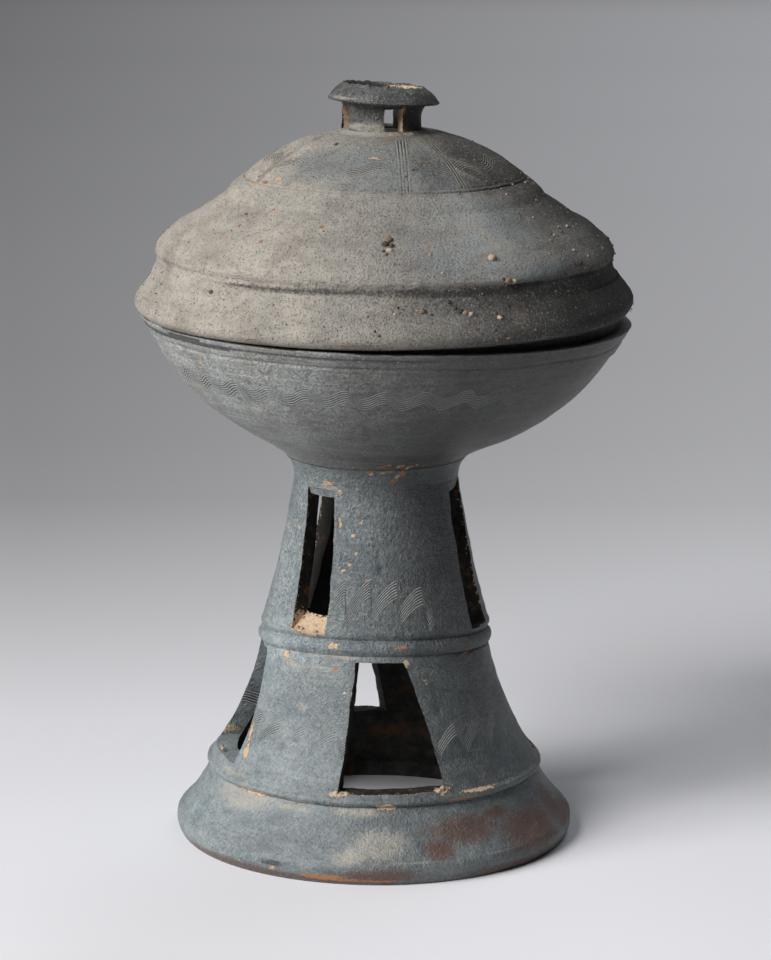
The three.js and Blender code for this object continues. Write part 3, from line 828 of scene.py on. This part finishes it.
PEDESTAL_FLUSH = [
    (30, 14.5, 13, 4.2), (20, 10, 6, 3), (44, 17, 6, 2), (76, 12, 7, 7), (55, 10, 14, 7),
    (-12, 1.6, 24, 1.4), (-45, 1.4, 36, 1.8), (50, 1.6, 30, 1.6), (2, 3.5, 14, 2), (60, 9, 10, 8),
    (84, 7, 12, 6), (140, 12, 14, 5), (-150, 8, 10, 4),
]
PEDESTAL_PALE = [
    (2.1, 12, 10, 5), (-6, 9, 8, 2.5, 10), (-48, 20.8, 16, 2.4), (-6, 21, 9, 1.8), (-28, 20.5, 8, 1.2),
    (-33, 49.5, 2, 1.6), (-34, 118, 5, 1.2), (-22, 66.2, 12, 0.8), (-46, 62.3, 6, 1.6, -10),
    (-27, 62, 7, 0.8), (-60, 26, 8, 1.2), (12, 7.1, 14, 0.35), (45, 7.1, 14, 0.3), (175, 14, 16, 4),
    (-120, 20, 12, 2), (-52, 19, 14, 3),
]
# Soot, and painted shade under the middle and lower cordons.
PEDESTAL_SOOT_AND_SHADE = [(5, 62.5, 9, 0.6), (62, 22.6, 16, 0.6), (-30, 5, 5, 1)]
PEDESTAL_PITS = [
    (3.4, 93.3, 0.9, 1.3), (-5.3, 89.9, 0.8, 0.7), (-54.5, 58.3, 1, 1.4), (-36.6, 53.4, 1.3, 1.6),
    (-38.5, 54, 0.8, 1.2), (-23.5, 106.8, 0.5, 1.8), (0.5, 103, 0.9, 0.9), (-30.5, 51.5, 1.1, 0.9),
    (-44, 119, 0.6, 0.6), (-19, 119.5, 0.8, 0.6), (2, 98, 0.8, 1.1), (30, 49, 0.7, 0.9), (150, 50, 1, 1.3),
    (-150, 95, 0.8, 1.2),
]


def pedestal():
    profile, outline = pedestal_outline()
    clay = pedestal_clay()
    finishes = clay, inner_clay("pedestal_inside", 1.35)
    piece, wall = thrown("pedestal_body", PEDESTAL_AXIS, profile, outline, 360, True, *finishes)
    lined(piece, wall.depth() > 3)
    wall.raised(cordon_lift(wall.azimuth, wall.height))
    relief = wall.lumpy((0.3, 16, 1), (0.15, 5, 2), (0.1, 1.8, 3), (0.12, 2.4, 4, 0.06))
    relief = relief - 0.7 * wall.dabs(*PEDESTAL_PITS)
    wall.worked(relief * band(wall.height, 0.2, 2, 123, 124.8))
    knifed = cut_clay("window_cuts")
    blocks = []
    for window in UPPER_WINDOWS:
        sill = CORDON_LEVEL + cordon_lift(window[0], CORDON_LEVEL) + ABOVE_CORDON
        place = window, PEDESTAL_AXIS, sill, UPPER_HEAD
        blocks.append(window_block(*place, knifed, wall_radius=31.45, reach=56, roughness=0.4))
    for window in LOWER_WINDOWS:
        head = CORDON_LEVEL + cordon_lift(window[0], CORDON_LEVEL) - BELOW_CORDON
        place = window, PEDESTAL_AXIS, LOWER_SILL, head
        face = clay if window is SMEARED_WINDOW else knifed
        blocks.append(window_block(*place, face, wall_radius=44.75, reach=80, roughness=0.45))
    cut(piece, blocks)
    wall = Wall(piece, PEDESTAL_AXIS, profile)
    carried = cordon_lift(wall.azimuth, wall.height)
    rims = window_rims(piece, wall, carried)
    chips = wall.dabs(*PEDESTAL_CHIPS, deep=3.2, lift=carried)
    chipped_corner = wall.dab(-97, 30.3, 3.4, 1.5, deep=9)
    torn_sill = wall.dab(-38, 73.5, 9, 5, deep=9) * (wall.depth(carried) > 0.3)
    behind = wall.depth(carried) > 0.4
    # Painted light: a lit crescent on the jamb of the back window, seen through the front left one.
    lit_crescent = wall.dab(-139, 108, 5, 10, deep=9) * behind * (wall.radius > 27.3)
    # Painted shade on the inside of the wall round it, deep in the window.
    shaded_jamb = wall.dab(-138, 82, 12, 22, deep=9) * behind
    shaded_upper_jamb = wall.dab(-138, 104, 8, 16, deep=9) * behind * (wall.radius < 27.3)
    wall.paint(
        comb=comb_panels(wall),
        chip=strongest(chips, chipped_corner, torn_sill, rims * 0.36),
        rust=strongest(wall.dabs(*PEDESTAL_RUST, deep=2.5, lift=carried), rims * 0.34),
        flush=wall.dabs(*PEDESTAL_FLUSH, lift=carried),
        pale=strongest(wall.dabs(*PEDESTAL_PALE, lift=carried), lit_crescent),
        soot=strongest(wall.dabs(*PEDESTAL_SOOT_AND_SHADE, lift=carried), shaded_jamb, shaded_upper_jamb),
    )
    dressed(piece, "dish", "pedestal")
    return profile


def neck_roll():
    """The clay roll round the join of pedestal and bowl, smeared until it hardly shows."""
    fillet = points((25.4, 114.5), (26.1, 116.6), (26.45, 118.6), (26.75, 120.4), (27.25, 122), (28, 123.5))
    fillet = denser([*fillet, Vector((29.2, PEDESTAL_TOP))], 120, 9, 0.8)
    outline = [*fillet, Vector((25.4, PEDESTAL_TOP))]
    clay = bpy.data.materials["pedestal_clay"]
    piece, wall = thrown("neck_roll", PEDESTAL_AXIS, fillet, outline, 240, True, clay)
    wall.worked(wall.lumpy((0.3, 16, 1), (0.12, 5, 2), (0.07, 1.8, 3)) * (wall.radius > 26))
    wall.paint(
        chip=wall.dabs((5, 124, 0.9, 0.7), (14, 122.5, 1, 0.7), (-36, 119, 2.5, 0.9), (-3, 123.5, 0.7, 0.6)),
        rust=wall.dabs((8, 124.6, 1.6, 0.8), (17, 123.4, 1.2, 1.3), (-4, 124.7, 2.2, 0.5), (12, 121, 1, 0.8)),
    )
    dressed(piece, "dish", "pedestal_luting_ring")


# Bowl. Its rim corner dips towards the right, and a groove runs round under it.
COLLAR_RADIUS = 69
BOWL_GROOVE = 165


def bowl_outline():
    heel = swept((29, PEDESTAL_TOP), (38.1, 130.5), (44, 0.3, 25, 0.35), 9)
    side = swept((38.1, 130.5), (77.7, 169), (25, 0.43, 62, 0.34), 54)[1:]
    rim = points((78, 169.5), (77.6, 169.85), (75.8, 169.75), (74.2, 170), (73.4, 170.8), (73.1, LEDGE))
    inner = swept((12.4, 130.9), (COLLAR_RADIUS - 3.6, 169.4), (4, 0.52, 74, 0.25), 26)
    collar = points((COLLAR_RADIUS, LEDGE), (COLLAR_RADIUS, 179), (68.6, 179.8), (67.9, 180.1))
    collar += points((66.5, 180.1), (65.7, 179.7), (65.4, 179))
    outer = [*heel, *side, *rim]
    return outer, [Vector((0, PEDESTAL_TOP)), *outer, *collar, *reversed(inner), Vector((0, 130.9))]


def bowl_comb(wall):
    """How hard the waved band was pressed: hard on the left and at the back, worn away on the right."""
    left = band(wall.azimuth, -95, -70, 2, 40)
    behind = ramp(wall.azimuth, 95, 110) + (1 - ramp(wall.azimuth, -150, -120))
    return np.clip(left + behind * 0.8 + 0.15, 0, 1) * (0.55 + 0.45 * ramp(wall.clouds(12, 41), -0.25, 0.15))


BOWL_CHIPS = [
    (-34.4, 165.7, 0.8, 0.5), (-30.3, 165.6, 0.7, 0.5), (-51, 161.8, 1, 0.8, -20), (-35.9, 160.1, 0.5, 0.5),
    (8, 126.5, 0.6, 0.5), (14, 125.6, 0.6, 0.5), (19, 126.8, 0.5, 0.5),
]
BOWL_RUST = [
    (-44, 171, 3.5, 0.6), (-27, 170.9, 3.5, 0.5), (-12, 171.1, 1.8, 0.4), (2, 127.2, 1.4, 0.5),
    (10, 126.6, 0.9, 0.7), (16, 126.2, 1.1, 0.6), (24, 126, 1, 0.5), (-20, 126, 0.6, 0.4),
    (-3, 126.2, 1.4, 0.4),
]
BOWL_FLUSH = [
    (-58, 138, 9, 5, -20), (-48, 171, 9, 1), (-28, 171, 6, 0.8), (48, 156, 10, 3), (-10, 171, 5, 0.6),
]
BOWL_PALE = [(-50, 166.5, 14, 0.7), (-20, 166.3, 10, 0.4), (-62, 152, 7, 3)]


def bowl():
    profile, outline = bowl_outline()
    outline = denser(outline, BOWL_GROOVE, 2, 0.35)
    finishes = bowl_clay(), inner_clay("bowl_inside", 3)
    piece, wall = thrown("bowl_body", BOWL_AXIS, profile, outline, 480, False, *finishes)
    lined(piece, wall.depth() > 2)
    turn = np.radians(wall.azimuth)
    dip = -0.45 - 1.35 * np.sin(turn) + 0.65 * np.cos(turn)
    wall.raised(dip * band(wall.height, 150, 168, 170, 172) * (wall.radius > 73))
    wall.points[:, 0] += (PEDESTAL_AXIS - BOWL_AXIS) * (1 - ramp(wall.height, PEDESTAL_TOP, 136.1))
    wall.settle()
    outside = 1 - ramp(wall.depth(), 1, 3)
    streaks = wall.lumpy((0.14, 3, 4, 0.05), (0.06, 1.1, 5, 0.08))
    relief = wall.lumpy((0.3, 16, 1), (0.08, 5, 2)) + streaks * outside
    groove = BOWL_GROOVE + dip * 0.8 + wall.clouds(30, 6) * 0.4
    relief = relief - 0.4 * ridge(wall.height - groove, 0.5) * outside
    wall.worked(relief * band(wall.height, PEDESTAL_TOP, 126, 169.8, 171.8))
    # Painted shade on the rim under the lid's lip, half as strong on the right.
    under_lid = (wall.radius < 77.6) * (wall.radius > 70) * (wall.height > 168)
    wall.paint(
        comb=bowl_comb(wall) * outside,
        chip=wall.dabs(*BOWL_CHIPS),
        rust=wall.dabs(*BOWL_RUST),
        flush=wall.dabs(*BOWL_FLUSH) * 0.45,
        pale=wall.dabs(*BOWL_PALE) * 0.8,
        soot=under_lid * (1 - 0.5 * ramp(wall.azimuth, 25, 50)),
    )
    dressed(piece, "dish", "bowl")


# Lid. Its lip lifts towards the right, and rings, a scored circle and combing mark the dome.
SCORED_HEIGHT = 214.2


def lid_outline():
    lip = swept((76.6, 171.25), (79.1, 175.2), (25, 0.35, 92, 0.35), 10)
    collar = swept((79.1, 175.2), (72.2, 188.6), (98, 0.25, 90, 0.35), 18)[1:]
    turn = points((72.05, 189), (72.25, 189.5), (72.6, 190.1), (72.75, 190.9), (72.6, 191.7))
    slope = swept((72.25, 192.6), (50.5, 208.4), (112, 0.16, 146, 0.3), 30)
    step = bowed((50.5, 208.4), (45.4, 213.5), -0.4, 8)[1:]
    cap = swept((45.4, 213.5), (16.9, KNOB_SEAT), (139, 0.33, 170, 0.33), 34)[1:]
    outer = [*lip, *collar, *turn, *slope, *step, *cap]
    under = points((0, 223.1), (16.2, 223.1), (31, 217.4), (41.7, 209.9), (47, 204.6))
    under += points((58, 198.5), (65.5, 191), (67.9, 185.2), (71.6, 181.7), (71.6, 177))
    smooth = [under[0]]
    for before, after in zip(under, under[1:]):
        smooth += [before.lerp(after, share / 4) for share in (1, 2, 3, 4)]
    return outer, [*smooth, Vector((71.6, LEDGE)), Vector((73.2, LEDGE)), *outer, Vector((0, KNOB_SEAT))]


def cap_comb(wall):
    """Where the cap is combed: from near the knob to the scored circle, worn thin in places."""
    combed = band(wall.radius, 19, 22, 43.6, 44.6) * (wall.depth() < 2)
    return combed * (0.4 + 0.6 * ramp(wall.clouds(12, 51), -0.3, 0.1))


LID_CHIPS = [
    (-52, 216, 1.8, 0.6), (-60, 217.5, 1, 0.5), (-57, 221.5, 1.1, 0.4), (-6, 223.3, 3, 0.25),
    (-66, 213.6, 1.6, 0.5), (-78, 183, 0.8, 0.6), (-47, 186, 1, 0.7), (70, 189.9, 0.8, 0.7),
    (28, 174.2, 0.8, 0.4),
]
LID_RUST = [
    (-58, 214.6, 1.6, 0.5), (-50, 203, 0.9, 0.5), (-36, 200, 0.9, 0.5), (-30, 172.9, 3, 0.3),
    (-8, 172.8, 4, 0.3), (-42, 208, 0.8, 0.5), (72, 189.5, 0.7, 0.9), (-20, 205, 0.6, 0.5),
    (12, 200, 0.6, 0.5),
]
LID_PALE = [
    (-75, 181, 16, 6), (-40, 177, 20, 2), (-50, 197, 12, 3), (44, 221, 7, 1.2, -30), (40, 218, 5, 1, -30),
    (-18, 213.8, 20, 0.2), (22, 213.8, 10, 0.2), (44, 197, 7, 0.9), (29, 206, 6, 6), (33, 199.5, 7, 4),
]
# Soot, and painted shade under the carination and on the lid's right side.
LID_SOOT_AND_SHADE = [
    (20, 187.6, 30, 1.6), (-25, 187.6, 26, 1), (50, 180, 12, 5), (66, 181, 16, 9), (55, 177, 14, 4),
    (85, 184, 26, 12), (100, 200, 40, 22), (12, 187.6, 14, 1.2), (130, 195, 40, 20),
]
# Painted shade, softer than soot: under the edge at the front, and on the dome's right shoulder.
LID_SHADE = [
    (22, 184, 34, 4), (45, 182, 20, 7), (22, 221, 8, 5), (50, 221, 10, 5, -20), (58, 215, 9, 6, -20),
    (66, 207, 10, 7, -20), (68, 199, 10, 6), (75, 212, 12, 10), (45, 215, 6, 5),
]
LID_BLUE = [
    (35, 204, 14, 8), (20, 196, 14, 4), (0, 221, 20, 5), (-28, 221, 16, 4), (28, 219, 12, 4),
    (-5, 216, 14, 2), (45, 192, 16, 3), (170, 215, 20, 6), (-150, 205, 20, 6),
]
LID_PITS = [
    (-14, 208.5, 0.9, 1.2), (-15.5, 206.5, 0.7, 0.8), (-30, 195, 1, 0.7), (-33, 192, 1.2, 0.5),
    (6, 190.6, 1.5, 0.4), (-20, 211, 0.7, 0.5), (-55, 224, 1, 0.5), (52, 206, 0.8, 0.6),
    (-38, 178, 0.8, 0.7),
]


def lid():
    profile, outline = lid_outline()
    outline = denser(outline, SCORED_HEIGHT, 1.3, 0.2)
    finishes = lid_clay(), inner_clay("lid_inside", 3)
    piece, wall = thrown("lid_dome", LID_AXIS, profile, outline, 480, False, *finishes)
    lined(piece, wall.depth() > 1.6)
    rise = 1.2 * np.sin(np.radians(wall.azimuth))
    above_edge = ramp(wall.height, 171.5, 175)
    at_lip = np.where(rise > 0, 0.75, 0.4) * (1 - above_edge) + above_edge
    at_lip = at_lip * (1 - 0.2 * ramp(wall.height, 175, 178)) * (1 - ramp(wall.height, 184, 200))
    wall.raised(rise * at_lip * (wall.radius > 74) * (wall.depth() < 2.8))
    outside = 1 - ramp(wall.depth(), 1, 3)
    relief = wall.lumpy((0.4, 20, 11), (0.14, 5, 12), (0.1, 2.2, 13))
    edge = ridge(wall.height - 190, 2.5)
    relief = relief + wall.lumpy((0.4, 9, 16), (0.25, 3, 17)) * edge * outside
    relief = relief + wall.clouds(3.4, 15, 0.05) * 0.1 * outside
    rings = 0.32 * ridge(wall.radius - 65.2, 2) - 0.3 * ridge(wall.radius - 60.5, 3)
    relief = relief + rings * outside * (wall.height > 192)
    for offset, deep in ((0, 0.55), (0.8, 0.25)):
        relief = relief - deep * ridge(wall.height - SCORED_HEIGHT - offset, 0.25) * outside
    relief = relief - 0.6 * wall.dabs(*LID_PITS)
    outer, inner = wall.radius > 74.5, (wall.radius <= 74.5) * (wall.height > 173)
    seated = (0.35 + 0.65 * ramp(wall.height, 172.2, 174)) * outer + inner
    wall.worked(relief * seated * (1 - ramp(wall.height, 227.2, 228)))
    # Paler along the lip's lower edge, in patches.
    pale_lip = ridge(wall.height - 172.4 - rise * 0.7, 0.5) * outside
    pale_lip = pale_lip * (0.3 + 0.5 * ramp(wall.clouds(9, 62), -0.3, 0.3))
    # Painted shade with soot in the groove under the carination, uneven along it.
    worn = 0.55 + 0.6 * ramp(wall.clouds(15, 61), -0.3, 0.3)
    groove = ridge(wall.height - 188.2 - rise * 0.5, 1.1) * outside * worn * ramp(wall.azimuth, -80, 10)
    # Painted shade on the lip's lowest edge, in the gap over the bowl.
    lip_edge = 1 - ramp(wall.height - rise * 0.7, 171.3, 172)
    shade = strongest(wall.dabs(*LID_SOOT_AND_SHADE) * 0.85, wall.dabs(*LID_SHADE) * 0.5)
    wall.paint(
        comb=cap_comb(wall),
        chip=wall.dabs(*LID_CHIPS),
        rust=wall.dabs(*LID_RUST) * 0.9,
        pale=strongest(wall.dabs(*LID_PALE) * 0.8, pale_lip),
        soot=strongest(shade, groove, lip_edge),
        blue=wall.dabs(*LID_BLUE),
    )
    dressed(piece, "cover", "lid")
    return profile


# Knob. Its mouth is open and chipped, and four windows are cut through its waist.
KNOB_WINDOWS = [
    (19, 6.1, 6.1, 0, 10, 0, 0), (-67, 6.1, 6.1, 0, 0, 0, 0), (97, 6, 6, 0, 0, 0, 0), (176, 6, 6, 0, 0, 0, 0),
]


def knob_outline():
    waist = bowed((13, KNOB_SEAT), (13.2, 236.6), 0.5, 14)
    under = bowed((13.4, 237), (17, 237.4), 0.2, 6)
    edge = points((17.55, 237.65), (17.75, 238), (17.55, 238.45))
    crown = bowed((17.1, 238.9), (13.2, 242.9), -0.3, 10)
    mouth = points((12.8, 243.2), (12.3, 243.1), (11.7, 242.4), (10.5, 240.4))
    bore = bowed((9.1, 238.2), (9.1, KNOB_SEAT), 0, 9)
    outer = [*waist, *under, *edge, *crown]
    return outer, [*outer, *mouth, *bore]


def knob():
    profile, outline = knob_outline()
    finishes = knob_clay(), cut_clay("knob_bore")
    piece, wall = thrown("knob_ring", KNOB_AXIS, profile, outline, 240, True, *finishes)
    lined(piece, (wall.radius < 11.6) & (wall.height < 242.6))
    ragged = ramp(wall.height, 240.5, 242.8)
    relief = wall.clouds(6, 21) * 0.22 - 0.1 + wall.clouds(2, 22) * (0.1 + 0.35 * ragged)
    relief = relief + wall.clouds(0.8, 23) * (0.06 + 0.12 * ragged) - 0.25 * ragged
    relief = relief * ramp(wall.height, 228.3, 230)
    turn = np.radians(wall.azimuth)
    tilt = (0.87 * np.sin(turn) - 0.5 * np.cos(turn)) * ramp(wall.height, 233, 238)
    wall.points[:, 0] += 0.55 * ramp(wall.height, 234, 238)
    wall.worked(relief)
    wall.raised(-tilt)
    place = KNOB_AXIS, 228.5, 236.3, cut_clay("knob_cuts")
    size = {"wall_radius": 13, "reach": 24, "roughness": 0.22}
    cut(piece, [window_block(window, *place, **size) for window in KNOB_WINDOWS])
    wall = Wall(piece, KNOB_AXIS, profile)
    mouth = wall.dabs((128, 241.2, 9, 2), (100, 241.6, 7, 1.2), deep=6) * (wall.radius < 12.6)
    jambs = wall.dabs((-84, 232.2, 3.4, 6), (32, 232.6, 3, 5.4), deep=7) * (wall.depth() > 0.35)
    # Painted shade down the throat, on the knob's right side and under its flange there.
    throat = (wall.radius < 12.3) * (wall.height > 237) * (1 - mouth)
    wall.paint(
        chip=strongest(mouth, jambs),
        rust=wall.dabs((31, 236, 0.8, 1.4), (150, 240, 8, 1), deep=4),
        pale=wall.dabs((-20, 230.5, 10, 1.6), (-50, 239.7, 9, 0.5), (10, 229.3, 9, 0.8)),
        soot=strongest(wall.dabs((60, 234, 12, 8), (40, 237.2, 16, 1.2)), throat),
    )
    dressed(piece, "cover", "knob")


def knob_roll():
    """The clay roll pressed round the knob's foot and smoothed out over the lid."""
    fillet = points((18.4, 227.1), (17, 227.75), (15.9, 228.05), (15, 228.3), (14.2, 228.55), (13.6, 228.8))
    fillet = denser([*fillet, Vector((13, 229.1))], 229, 5, 0.5)
    outline = [Vector((11, 227.1)), *fillet, Vector((11, 229.1))]
    clay = bpy.data.materials["lid_clay"]
    piece, wall = thrown("knob_roll", KNOB_AXIS, fillet, outline, 240, True, clay)
    wall.worked(wall.lumpy((0.2, 6, 21), (0.12, 2, 22)) * (wall.radius > 12.5))
    wall.paint(
        chip=wall.dabs((16, 228.7, 3, 0.5), (38, 228.6, 3, 0.4)) * 0.6,
        pale=wall.dab(-20, 228.5, 9, 1.5),
    )
    dressed(piece, "cover", "knob_luting_ring")


# Kiln grit that fell on the lid: each lump's azimuth, height and size. Clumps are given lump by lump.
GRIT = [
    (0.9, 202.2, 1.3), (0.2, 201, 1.2), (1.8, 200.7, 1), (1.2, 199.6, 1.1), (-0.4, 199.2, 0.8),
    (0.6, 198.5, 0.7), (30.7, 190.5, 1.3), (32.5, 190.2, 0.9), (29.5, 191.1, 0.6), (28.3, 196.8, 1.4),
    (30, 182.9, 0.7), (27.6, 180.6, 0.6), (24.9, 177, 0.8), (39.4, 180.8, 0.6), (25.5, 173.8, 0.7),
    (17.7, 182.4, 1.3), (18.8, 182, 1.1), (20, 181.4, 1), (21.3, 181, 0.6), (16.6, 183.2, 0.8),
    (8.9, 182.7, 1.1), (10.8, 181.8, 0.5), (15.4, 185.2, 0.8), (7.5, 190.9, 0.5), (27, 180.2, 1.1),
    (26, 181.4, 0.7), (3.2, 183.8, 0.5), (2.4, 182, 0.6), (-2, 177.4, 0.5), (-1, 176.2, 0.5),
    (70, 189.4, 0.9), (72, 190.6, 0.7), (47, 196.5, 0.6), (12, 198.4, 0.6), (14, 193.8, 0.5),
    (50, 185, 0.5), (-46, 184.6, 0.9), (-78, 183.5, 0.8), (9, 218.6, 0.6), (13.5, 220.1, 0.6),
    (-52, 206, 0.5), (-38.5, 226, 0.7), (52, 199.5, 0.7), (56.5, 192.8, 0.8), (61, 201, 0.6),
    (35, 176, 0.5),
]
# Crumbs that the knife left at the corners of the pedestal's windows, given in the same way.
CRUMBS = [
    (23.4, 26.5, 0.7), (24.9, 26.9, 1), (26.2, 26.5, 0.7), (-13, 26.1, 0.7), (-11, 26.1, 0.6),
    (-43, 73.4, 0.6), (-40.5, 73.2, 0.7), (-32, 73.2, 0.6), (-79, 29.2, 0.7), (-76.5, 29.1, 0.6),
]


def lumps(name, places, profile, axis, shades):
    """Rough lumps on a wall as one piece. A place is azimuth, height, size and how finely it is divided."""
    draw = random.Random(11)
    radii, heights = zip(*profile)
    grown = bmesh.new()
    tint = grown.verts.layers.float.new("tint")
    for azimuth, height, size, subdivisions in places:
        radius = float(np.interp(height, heights, radii)) - 0.25 * size
        angle = math.radians(azimuth)
        place = (radius * math.sin(angle) + axis, -radius * math.cos(angle), height)
        seed = draw.uniform(0, 50)
        shade = draw.uniform(*shades)
        made = bmesh.ops.create_icosphere(grown, subdivisions=subdivisions, radius=size * MM)["verts"]
        stretch = Vector((draw.uniform(0.8, 1.2), draw.uniform(0.8, 1.2), draw.uniform(0.7, 1.0)))
        for vertex in made:
            vertex.co *= 1 + 0.45 * noise.noise(vertex.co / (size * MM) * 1.4 + Vector((seed, 0, 0)))
            vertex.co *= stretch
            vertex[tint] = shade
        bmesh.ops.translate(grown, vec=Vector(place) * MM, verts=made)
    bmesh.ops.recalc_face_normals(grown, faces=grown.faces)
    piece = piece_from(grown, name)
    piece.data.materials.append(grit_finish(name))
    return piece


def kiln_grit(profile):
    """The lid's lumps as one piece, with small ones scattered among those that the list gives."""
    draw = random.Random(7)
    places = [(*lump, 2) for lump in GRIT]
    for _ in range(900):
        height = 173.5 + 52 * draw.random() ** 1.35
        places.append((draw.uniform(-180, 180), height, draw.uniform(0.14, 0.3), 1))
    for _ in range(90):
        places.append((draw.uniform(52, 110), 186 + 30 * draw.random(), draw.uniform(0.25, 0.6), 1))
    piece = lumps("kiln_grit", places, profile, LID_AXIS, (0, 1))
    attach(piece, "cover")


def window_crumbs(profile):
    """The crumbs as one piece."""
    piece = lumps("window_crumbs", [(*crumb, 2) for crumb in CRUMBS], profile, PEDESTAL_AXIS, (0.75, 1))
    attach(piece, "dish")


def lamp(name, azimuth, elevation, distance, size, power, colour):
    """A round soft lamp that faces the pot. Its distance and size are in metres."""
    turn, tilt = math.radians(azimuth), math.radians(elevation)
    target = Vector((0, 0, 0.12))
    away = Vector((math.sin(turn) * math.cos(tilt), -math.cos(turn) * math.cos(tilt), math.sin(tilt)))
    data = bpy.data.lights.new(name, "AREA")
    data.shape = "DISK"
    data.size = size
    data.energy = power
    data.color = colour
    made = bpy.data.objects.new(name, data)
    made.location = target + away * distance
    made.rotation_euler = away.to_track_quat("Z", "Y").to_euler()
    bpy.context.scene.collection.objects.link(made)


# Painted shade on the floor: how pale it looks at distances behind the lid's axis, in metres.
FLOOR_LEVELS = [
    (-0.12, 0.93), (-0.047, 0.88), (0.03, 0.82), (0.075, 0.815), (0.128, 0.8), (0.182, 0.74), (0.275, 0.64),
    (0.38, 0.55), (0.5, 0.45), (0.64, 0.42), (0.87, 0.41), (1.16, 0.42), (1.55, 0.44), (2.07, 0.5),
    (2.63, 0.615), (3.26, 0.83),
]
# Painted light and shade: how much paler the floor looks at the picture's right edge and darker at its left,
# at such distances.
SIDE_SHARES = [
    (-0.12, -0.06), (0.03, 0), (0.275, 0.1), (0.38, 0.165), (0.5, 0.23), (0.64, 0.24), (1.16, 0.26),
    (3.3, 0.37),
]
# Painted shade: how the floor darkens in front of the pot, and to its left, so that it isn't burnt out under
# the lamps.
FLOOR_IN_FRONT = [(-3.5, 0.1), (-2, 0.2), (-1, 0.42), (-0.45, 0.78), (-0.14, 1)]
FLOOR_ON_LEFT = [(-3.5, 0.1), (-2, 0.22), (-1.2, 0.45), (-0.55, 1)]


def studio():
    """A wide pale floor, with painted shade that darkens it with distance from the pot, under three soft
    lamps and a faint sky.
    """
    bm = bmesh.new()
    bmesh.ops.create_grid(bm, x_segments=1, y_segments=1, size=14)
    floor = piece_from(bm, "studio_floor")
    card = Finish("studio_floor", 0.9, 0.2, (0.98, 0.985, 1.03))
    right, behind = card.along(0) * MM, card.along(1) * MM
    side = (right / (behind.math("ABSOLUTE") + 1)).graded((-0.11, -1), (0.11, 1))
    level = behind.graded(*FLOOR_LEVELS) * behind.graded(*FLOOR_IN_FRONT) * right.graded(*FLOOR_ON_LEFT)
    card.shade(level * (side * behind.graded(*SIDE_SHARES) + 1))
    seen = card.node("ShaderNodeLightPath").outputs
    shown = Value(card, seen["Is Camera Ray"]) + Value(card, seen["Is Glossy Ray"])
    shown = (shown + Value(card, seen["Is Transmission Ray"])).clamped()
    card.base = card.mix(shown, (0.48, 0.485, 0.49), card.base)
    floor.data.materials.append(card.done())
    world = bpy.data.worlds.new("studio")
    bpy.context.scene.world = world
    world.use_nodes = True
    backdrop = world.node_tree.nodes["Background"]
    backdrop.inputs["Color"].default_value = (0.9, 0.95, 1.0, 1)
    backdrop.inputs["Strength"].default_value = 0.03
    lamp("key", -42, 37, 4.5, 2.0, 150, (1.0, 0.99, 0.98))
    lamp("side", -64, 29, 4.5, 2.2, 118, (1.0, 0.99, 0.975))
    lamp("back", 150, 50, 3.0, 2.0, 20, (0.97, 0.985, 1.0))


# The camera as fitted to the photograph. Its place is in metres, and it looks down and is rolled by degrees.
CAMERA_PLACE = (0.0008, -1.15, 0.36)
CAMERA_DOWN = 11.99
CAMERA_ROLL = 0.46
CAMERA_LENS = 170.8


def camera():
    data = bpy.data.cameras.new("camera")
    data.sensor_fit = "HORIZONTAL"
    data.sensor_width = 36
    data.lens = CAMERA_LENS
    made = bpy.data.objects.new("camera", data)
    pitch = Matrix.Rotation(math.radians(90 - CAMERA_DOWN), 4, "X")
    roll = Matrix.Rotation(math.radians(CAMERA_ROLL), 4, "Z")
    made.matrix_world = Matrix.Translation(CAMERA_PLACE) @ pitch @ roll
    bpy.context.scene.collection.objects.link(made)
    bpy.context.scene.camera = made


window_crumbs(pedestal())
neck_roll()
bowl()
lid_profile = lid()
knob()
knob_roll()
kiln_grit(lid_profile)
studio()
camera()
bpy.context.scene.view_settings.view_transform = "Standard"
